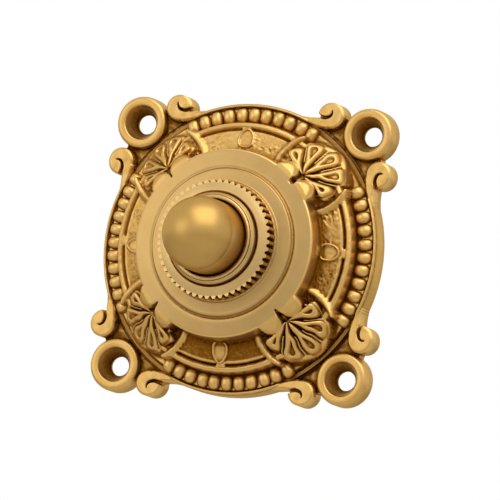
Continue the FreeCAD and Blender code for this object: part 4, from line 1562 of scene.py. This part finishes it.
@dataclass
class BeadRows:
    """Four rows of cast beads, a little uneven, in the channel inside the rim.

    Attributes:
        ring: radius of the circle that the beads lie on.
        radius, long, rise: a bead's half width, half length along the radius, and height.
        sink: how far its middle lies under the channel.
        blunt, domed: how square it is seen from the front and from the side, where 1 is round.
        levels, columns: rings of points and points in each.
        low: where its foot starts, in half turns below its widest place.
        count, pitch: beads in a row and the degrees between them.
        middles: how far the middle of each row lies off its axis, in degrees.
        jitter: how far a bead may stray, in degrees.
        swell: unevenness of the beads' forms.
    """

    casting: Casting
    ring: float = 29.1
    radius: float = 1.43
    long: float = 1.85
    rise: float = 1.75
    sink: float = 0.1
    blunt: float = 0.74
    domed: float = 0.86
    levels: int = 14
    columns: int = 24
    low: float = 0.3
    count: int = 11
    pitch: float = 5.65
    middles: tuple[float, ...] = (-0.5, -0.3, 0.25, 1.25)
    jitter: float = 0.25
    swell: float = 0.28

    def bead(self) -> bpy.types.Mesh:
        """One blunt bead on +X, longer along the radius than across, dark at its foot.

        Returns:
            Its closed mesh, with its marks.
        """

        def squared(value: Field, power: float) -> Field:
            """Value raised to a power with its sign kept."""
            return np.sign(value) * np.abs(value) ** power

        lift = np.append(-self.low, np.linspace(-self.low, 0.5, self.levels - 1))[:, None] * np.pi
        turn = np.linspace(0, 2 * np.pi, self.columns, endpoint=False)[None, :]
        out = squared(np.cos(lift), self.domed)
        out[0] = 0.0
        flat = np.ones(turn.shape)
        x = self.ring + self.long * out * squared(np.cos(turn), self.blunt)
        z = self.radius * out * squared(np.sin(turn), self.blunt)
        h = (self.casting.sizes.channel_height - self.sink + self.rise * np.sin(lift)) * flat
        number = np.arange(self.levels * self.columns).reshape(self.levels, self.columns)
        number[0], number[-1] = number[0, 0], number[-1, 0]
        right = np.roll(number, -1, axis=1)
        quads = np.stack([number[:-1], number[1:], right[1:], right[:-1]], axis=-1).reshape(-1, 4)
        patina_and_shade = np.clip(0.46 - 0.85 * np.sin(lift), 0, 0.55) * flat
        rubbed = np.clip(2.0 * np.sin(lift) - 1.2, 0, 1) * flat
        return make_mesh("bead", np.stack([x, -h, z], axis=-1).reshape(-1, 3), quads,
                         {"patina_and_shade": patina_and_shade, "rubbed": rubbed})

    def build(self) -> None:
        """Grows the four rows and adds them as one piece."""
        tree = ring_tree()
        rows = []
        for side, middle in enumerate(self.middles):
            start = 90 * side + middle - (self.count - 1) / 2 * self.pitch
            rows.append(grown(self.bead(), tree, {
                "Copies": self.count, "Start": math.radians(start), "Step": math.radians(self.pitch),
                "Jitter": math.radians(self.jitter), "Swell": self.swell * MM,
                "Seed": Grain.BEADS.value + side, "Material": self.casting.finishes["cast"]}))
        add_piece("bead_rows", joined("bead_rows", rows), self.casting.finishes["cast"], Body.HOUSING,
                  "escutcheon")


@dataclass
class MilledRing:
    """Ring that clamps the barrel, with a milled edge of teeth.

    Attributes:
        finish: its brass.
        teeth, depth: number of teeth and the depth between them.
        bore, chamfer: radius of the bore and the bevel at its mouth.
        face_drop: how far the milled rim lies under the ring's face.
        tooth_sink: how far the teeth reach into the body.
        flank, flat: half width of a tooth at its root and at its tip, as shares of half the pitch.
        bevel: how far the tip's corners are broken.
    """

    finish: bpy.types.Material
    teeth: int = 52
    depth: float = 0.6
    bore: float = 10.05
    chamfer: float = 0.5
    face_drop: float = 0.5
    tooth_sink: float = 0.15
    flank: float = 0.72
    flat: float = 0.34
    bevel: float = 0.02

    def body(self, root: float, low: float, rim: float, high: float) -> bpy.types.Mesh:
        """Turned body, with patina and painted shade on its side between the teeth, and painted shade in the
        gap round the barrel.

        Args:
            root: radius between the teeth.
            low, rim, high: heights of the back, the milled rim and the face.

        Returns:
            Its mesh.
        """
        # patina and painted shade on the side wall between the teeth, painted shade in the bore's mouth
        return turned_mesh("ring_body", [
            (self.bore, low), (root, low), (root, rim - 0.01, 0.05), (self.bore + self.chamfer, high, 0.12),
            (self.bore, high - self.chamfer)], 208,
            lambda r, h: (ease(r, root - 0.02, root) * (h < rim - 0.03)
                          + 0.9 * (1 - ease(r, self.bore, self.bore + 0.09))))

    def tooth(self, root: float, tip: float, low: float, rim: float) -> bpy.types.Mesh:
        """One tooth on +X, with patina and painted shade on its flanks up to just below the rim.

        Args:
            root, tip: radii between the teeth and over them.
            low, rim: heights of its two ends.

        Returns:
            Its closed, flat-sided mesh.
        """
        base = root - self.tooth_sink
        half = math.pi * tip / self.teeth
        flank, flat = self.flank * half, self.flat * half
        corner = [(base, -flank), (root + self.bevel, -flank), (tip - self.bevel, -flat), (tip, 0.0),
                  (tip - self.bevel, flat), (root + self.bevel, flank), (base, flank)]
        levels = (low, rim - 0.3, rim)
        points = np.array([(x, -h, z) for h in levels for x, z in corner])
        n = len(corner)
        quads = [[k + i, k + (i + 1) % n, k + n + (i + 1) % n, k + n + i] for k in (0, n) for i in range(n)]
        for cap in ((0, 1, 5, 6), (1, 2, 4, 5), (2, 3, 4, 4)):
            quads += [[k + i for i in cap] for k in (0, 2 * n)]
        # patina and painted shade on the flanks below the rim
        dark = [1.0 if x < tip - 0.1 and h < rim else 0.0 for h in levels for x, _ in corner]
        mesh = make_mesh("tooth", points, np.array(quads), {"patina_and_shade": np.array(dark)})
        mesh.polygons.foreach_set("use_smooth", [False] * len(mesh.polygons))
        return mesh

    def build(self) -> None:
        """Turns the body, grows the teeth and adds both as one piece."""
        radius, low, high = reach_of("knurled_ring")
        rim, root = high - self.face_drop, radius - self.depth
        teeth = grown(self.tooth(root, radius, low, rim), ring_tree(), {
            "Copies": self.teeth, "Start": 0.0, "Step": 2 * math.pi / self.teeth, "Jitter": 0.0,
            "Swell": 0.0, "Seed": 1, "Material": self.finish})
        mesh = joined("milled_ring", [self.body(root, low, rim, high), teeth])
        mesh.set_sharp_from_angle(angle=CRISP)
        add_piece("milled_ring", mesh, self.finish, Body.HOUSING, "knurled_ring")


@dataclass
class Barrel:
    """Sleeve that guides the press; only its collar shows.

    Attributes:
        finish: its brass.
        button: radius of the press.
        mouth_gap, guide_gap: clearance round it at the mouth and in the guide.
        radius, chamber: outer radius, and radius of the wide chamber behind the guide.
        lip: radius of the opening at the back.
        lip_thick: how thick the ring round that opening is.
        flange_back, flange_front: heights of the flange that holds it behind the plate.
        guide_end: height at which the guide ends and the chamber starts.
    """

    finish: bpy.types.Material
    button: float = 8.05
    mouth_gap: float = 0.45
    guide_gap: float = 0.07
    radius: float = 10.0
    chamber: float = 9.0
    lip: float = 8.6
    lip_thick: float = 0.4
    flange_back: float = 11.0
    flange_front: float = 12.6
    guide_end: float = 15.6

    def build(self) -> None:
        """Turns the sleeve, with its rounded and grooved collar, and adds it."""
        flange, low, high = reach_of("barrel")
        mouth, guide = self.button + self.mouth_gap, self.button + self.guide_gap
        profile = [(self.lip, low), (self.radius, low), (self.radius, self.flange_back),
                   (flange, self.flange_back, 0.15), (flange, self.flange_front, 0.15),
                   (self.radius, self.flange_front), (self.radius, high - 1.15, 0.12),
                   (self.radius - 0.12, high - 1.0, 0.1), (self.radius - 0.42, high - 0.45, 0.3),
                   (9.4, high - 0.42, 0.1), (9.3, high - 0.2, 0.1), (9.0, high, 0.25),
                   (mouth, high - 0.08, 0.1), (mouth, high - 1.2), (guide, high - 1.6),
                   (guide, self.guide_end), (self.chamber, self.guide_end),
                   (self.chamber, low + self.lip_thick), (self.lip, low + self.lip_thick)]

        def dark(r: Field, h: Field) -> Field:
            """Patina in its fine groove and on its crown, and painted shade below the collar and down in the
            mouth round the press.
            """
            below = 0.85 * (1 - ease(h, high - 2.0, high - 1.05)) * (r > 9.2)
            groove, crown = 0.7 * (np.abs(r - 9.38) < 0.06), 0.16 * (r > 8.9)
            return below + groove + crown + 1.0 * (r < mouth + 0.05) * (h < high - 0.4) * (r > 8.0)

        mesh = turned_mesh("barrel_sleeve", profile, 192, dark)
        add_piece("barrel_sleeve", mesh, self.finish, Body.HOUSING, "barrel")


@dataclass
class PressButton:
    """Bullet-shaped press with its flange and its spring pocket.

    Attributes:
        finish: its brass.
        radius, wall: outer radius and wall of the hollow.
        roof: height of the hollow's end.
        grip, grip_depth: radius and depth of the hole for the stem.
        dome_rise, dome_inset: height of the dome and how far its edge lies inside the side.
        flange_top: height of the front of the flange.
        side_low: length of the side that has its own row of points under the dome.
    """

    finish: bpy.types.Material
    radius: float = 8.05
    wall: float = 1.45
    roof: float = 21.0
    grip: float = 2.03
    grip_depth: float = 4.0
    dome_rise: float = 7.2
    dome_inset: float = 0.03
    flange_top: float = 15.52
    side_low: float = 6.0

    def build(self) -> None:
        """Turns the press, whose dome meets its side at a fine edge, and adds it."""
        flange, low, top = reach_of("push_button")
        edge = self.radius - self.dome_inset
        dome_radius = (edge ** 2 + self.dome_rise ** 2) / (2 * self.dome_rise)
        centre = top - dome_radius
        dome = [(dome_radius * math.cos(a), centre + dome_radius * math.sin(a))
                for a in np.linspace(math.acos(edge / dome_radius), math.pi / 2, 40)]
        dome[-1] = (0.0, top)
        side_end = top - self.dome_rise - 0.05
        inner, grip_end = self.radius - self.wall, self.roof + self.grip_depth
        profile = [(0.0, grip_end), (self.grip, grip_end), (self.grip, self.roof), (inner, self.roof),
                   (inner, low), (flange, low), (flange, self.flange_top), (self.radius, self.flange_top),
                   (self.radius, side_end - self.side_low), (self.radius, side_end), *dome]
        # painted shade on the press's side where it goes into the barrel's mouth
        mesh = turned_mesh("press", profile, 192,
                           lambda r, h: 0.9 * (1 - ease(h, 21.0, 22.6)) * (r > 7.9))
        add_piece("press", mesh, self.finish, Body.BUTTON, "push_button")


@dataclass
class ReturnSpring:
    """Round-wire coil spring inside the press."""

    finish: bpy.types.Material
    wire: float = 0.45
    radius: float = 5.6
    turns: float = 5.5

    def tree(self) -> bpy.types.NodeTree:
        """Geometry tree of a coil along the axis of the press."""
        tree = bpy.data.node_groups.new("coil_spring", "GeometryNodeTree")
        for name, kind in (("Geometry", "NodeSocketGeometry"), ("Turns", "NodeSocketFloat"),
                           ("Radius", "NodeSocketFloat"), ("Wire", "NodeSocketFloat"),
                           ("Length", "NodeSocketFloat"), ("Material", "NodeSocketMaterial")):
            tree.interface.new_socket(name, in_out="INPUT", socket_type=kind)
        tree.interface.new_socket("Geometry", in_out="OUTPUT", socket_type="NodeSocketGeometry")
        given = add_node(tree, "NodeGroupInput").outputs
        coil = add_node(tree, "GeometryNodeCurveSpiral", {
            "Resolution": 48, "Rotations": given["Turns"], "Start Radius": given["Radius"],
            "End Radius": given["Radius"], "Height": given["Length"]}).outputs[0]
        section = add_node(tree, "GeometryNodeCurvePrimitiveCircle", {"Resolution": 14,
                                                                      "Radius": given["Wire"]}).outputs[0]
        solid = add_node(tree, "GeometryNodeCurveToMesh", {"Curve": coil, "Profile Curve": section,
                                                           "Fill Caps": True}).outputs[0]
        dressed = add_node(tree, "GeometryNodeSetMaterial", {"Geometry": solid,
                                                             "Material": given["Material"]}).outputs[0]
        add_node(tree, "NodeGroupOutput", {"Geometry": dressed})
        return tree

    def build(self) -> None:
        """Grows the coil, stands it along the axis and adds it."""
        _, low, high = reach_of("return_spring")
        start = bpy.data.meshes.new("coil_start")
        coil = grown(start, self.tree(), {"Turns": self.turns, "Radius": self.radius * MM,
                                          "Wire": self.wire * MM, "Length": (high - low - 2 * self.wire) * MM,
                                          "Material": self.finish})
        foot = Matrix.Translation((0, -(low + self.wire) * MM, 0))
        coil.transform(foot @ Matrix.Rotation(math.pi / 2, 4, "X"))
        coil.name = "return_coil"
        add_piece("return_coil", joined("return_coil", [coil]), self.finish, Body.HOUSING,
                  "return_spring")


@dataclass(frozen=True)
class Studio:
    """White studio: floor, soft boxes, world and the camera at the photograph's angle."""

    distance: float = 2.0
    lens: float = 667.0
    right: tuple[float, float, float] = (0.9189, 0.3789, 0.1099)
    up: tuple[float, float, float] = (-0.0552, -0.1523, 0.9868)
    towards: tuple[float, float, float] = (0.3906, -0.9128, -0.1190)
    aim: tuple[float, float] = (0.546, 0.548)
    floor_drop: float = 0.30
    world_level: float = 0.55

    def camera(self) -> None:
        """Sets the camera so that a millimetre of the object covers as much as in the photograph."""
        data = bpy.data.cameras.new("camera")
        data.lens, data.sensor_width = self.lens, 36.0
        data.clip_start, data.clip_end = 0.1, 20.0
        right, up, towards = Vector(self.right), Vector(self.up), Vector(self.towards)
        turn = Matrix((right, up, towards)).transposed()
        view = bpy.data.objects.new("camera", data)
        centre = (right * self.aim[0] + up * self.aim[1]) * MM
        view.matrix_world = Matrix.Translation(centre + towards * self.distance) @ turn.to_4x4()
        bpy.context.scene.collection.objects.link(view)
        bpy.context.scene.camera = view

    def lamp(self, name: str, place: tuple[float, float, float], size: float, level: float) -> None:
        """Adds a soft box that faces the object.

        Args:
            name: the lamp's name.
            place: where it stands, in metres.
            size: its side, in metres.
            level: how bright it looks in a mirror, where 1 is white.
        """
        data = bpy.data.lights.new(name, "AREA")
        data.shape, data.size = "SQUARE", size
        data.energy = level * math.pi * size * size
        lamp = bpy.data.objects.new(name, data)
        lamp.location = place
        lamp.rotation_mode = "QUATERNION"
        lamp.rotation_quaternion = Vector(place).to_track_quat("Z", "Y")
        bpy.context.scene.collection.objects.link(lamp)

    def white_share(self, tree: bpy.types.NodeTree) -> bpy.types.NodeSocket:
        """Value that is 1 for camera, glossy and transmission rays."""
        path = add_node(tree, "ShaderNodeLightPath").outputs
        either = add_node(tree, "ShaderNodeMath", {0: path["Is Camera Ray"], 1: path["Is Glossy Ray"]},
                          operation="MAXIMUM").outputs[0]
        return add_node(tree, "ShaderNodeMath", {0: either, 1: path["Is Transmission Ray"]},
                        operation="MAXIMUM").outputs[0]

    def world(self) -> None:
        """White for what is seen and mirrored, and dimmer where it lights."""
        world = bpy.data.worlds.new("studio")
        bpy.context.scene.world = world
        world.use_nodes = True
        tree = world.node_tree
        seen = self.white_share(tree)
        level = add_node(tree, "ShaderNodeMapRange", {"Value": seen, 3: self.world_level, 4: 1.0})
        back = tree.nodes["Background"]
        back.inputs["Color"].default_value = (1.0, 1.0, 1.0, 1.0)
        tree.links.new(level.outputs["Result"], back.inputs["Strength"])

    def floor(self) -> None:
        """Pale floor well below the object, which is meant for a wall."""
        half = 4.0
        mesh = bpy.data.meshes.new("floor")
        corners = [(-half, -half), (half, -half), (half, half), (-half, half)]
        mesh.from_pydata([(x, y, -self.floor_drop) for x, y in corners], [], [(0, 1, 2, 3)])
        ground = bpy.data.objects.new("floor", mesh)
        bpy.context.scene.collection.objects.link(ground)
        made = bpy.data.materials.new("pale_floor")
        made.use_nodes = True
        tree = made.node_tree
        shader = tree.nodes["Principled BSDF"]
        place = add_node(tree, "ShaderNodeTexCoord").outputs["Object"]
        cloud = add_node(tree, "ShaderNodeTexNoise", {"Vector": place, "Scale": 1.5}).outputs["Fac"]
        colour = add_node(tree, "ShaderNodeMix", {"Factor": cloud, MIX_A: srgb("#ECEAE6"),
                                                  MIX_B: srgb("#F4F3F0")},
                          data_type="RGBA").outputs[MIX_RESULT]
        tree.links.new(colour, shader.inputs["Base Color"])
        shader.inputs["Roughness"].default_value = 0.8
        mesh.materials.append(made)

    def build(self) -> None:
        """Sets up everything around the object."""
        self.camera()
        self.world()
        self.floor()
        self.lamp("top_soft_box", (0.42, -0.55, 0.95), 1.3, 1.75)
        self.lamp("front_soft_box", (-0.9, -1.2, 0.25), 0.9, 0.9)
        settings = bpy.context.scene.view_settings
        settings.view_transform = "Standard"


def dress_fittings(finishes: Finishes) -> None:
    """Gives the pieces behind the plate their finishes, on their own meshes."""
    made = {
        finishes.fitting: ["barrel_washer", "fixed_contact", "contact_rivet_left", "contact_rivet_right",
                           "terminal_screw_left", "terminal_screw_right", "terminal_washer_left",
                           "terminal_washer_right", "terminal_nut_left", "terminal_nut_right",
                           "base_screw_lower", "base_screw_upper", "spring_seat", "button_stem"],
        finishes.block: ["contact_base"],
        finishes.fibre: ["stem_tip"],
        finishes.bronze: ["moving_contact"],
        finishes.silver: ["contact_point"],
    }
    for finish, nodes in made.items():
        material = finish.material()
        for node in nodes:
            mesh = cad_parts[node].data
            mesh.materials.clear()
            mesh.materials.append(material)
            log.info("%s: %s", node, finish.name)


def main() -> None:
    """Builds the studio and every piece in order."""
    logging.basicConfig(level=logging.INFO, format="%(name)s: %(message)s")
    finishes = Finishes()
    Studio().build()
    Casting({"cast": finishes.cast.material(), "turned": finishes.turned.material(),
             "back": finishes.rough.material()}).build()
    bar = finishes.bar.material()
    MilledRing(bar).build()
    Barrel(bar).build()
    PressButton(finishes.press.material()).build()
    ReturnSpring(finishes.wire.material()).build()
    dress_fittings(finishes)


if __name__ == "__main__":
    main()
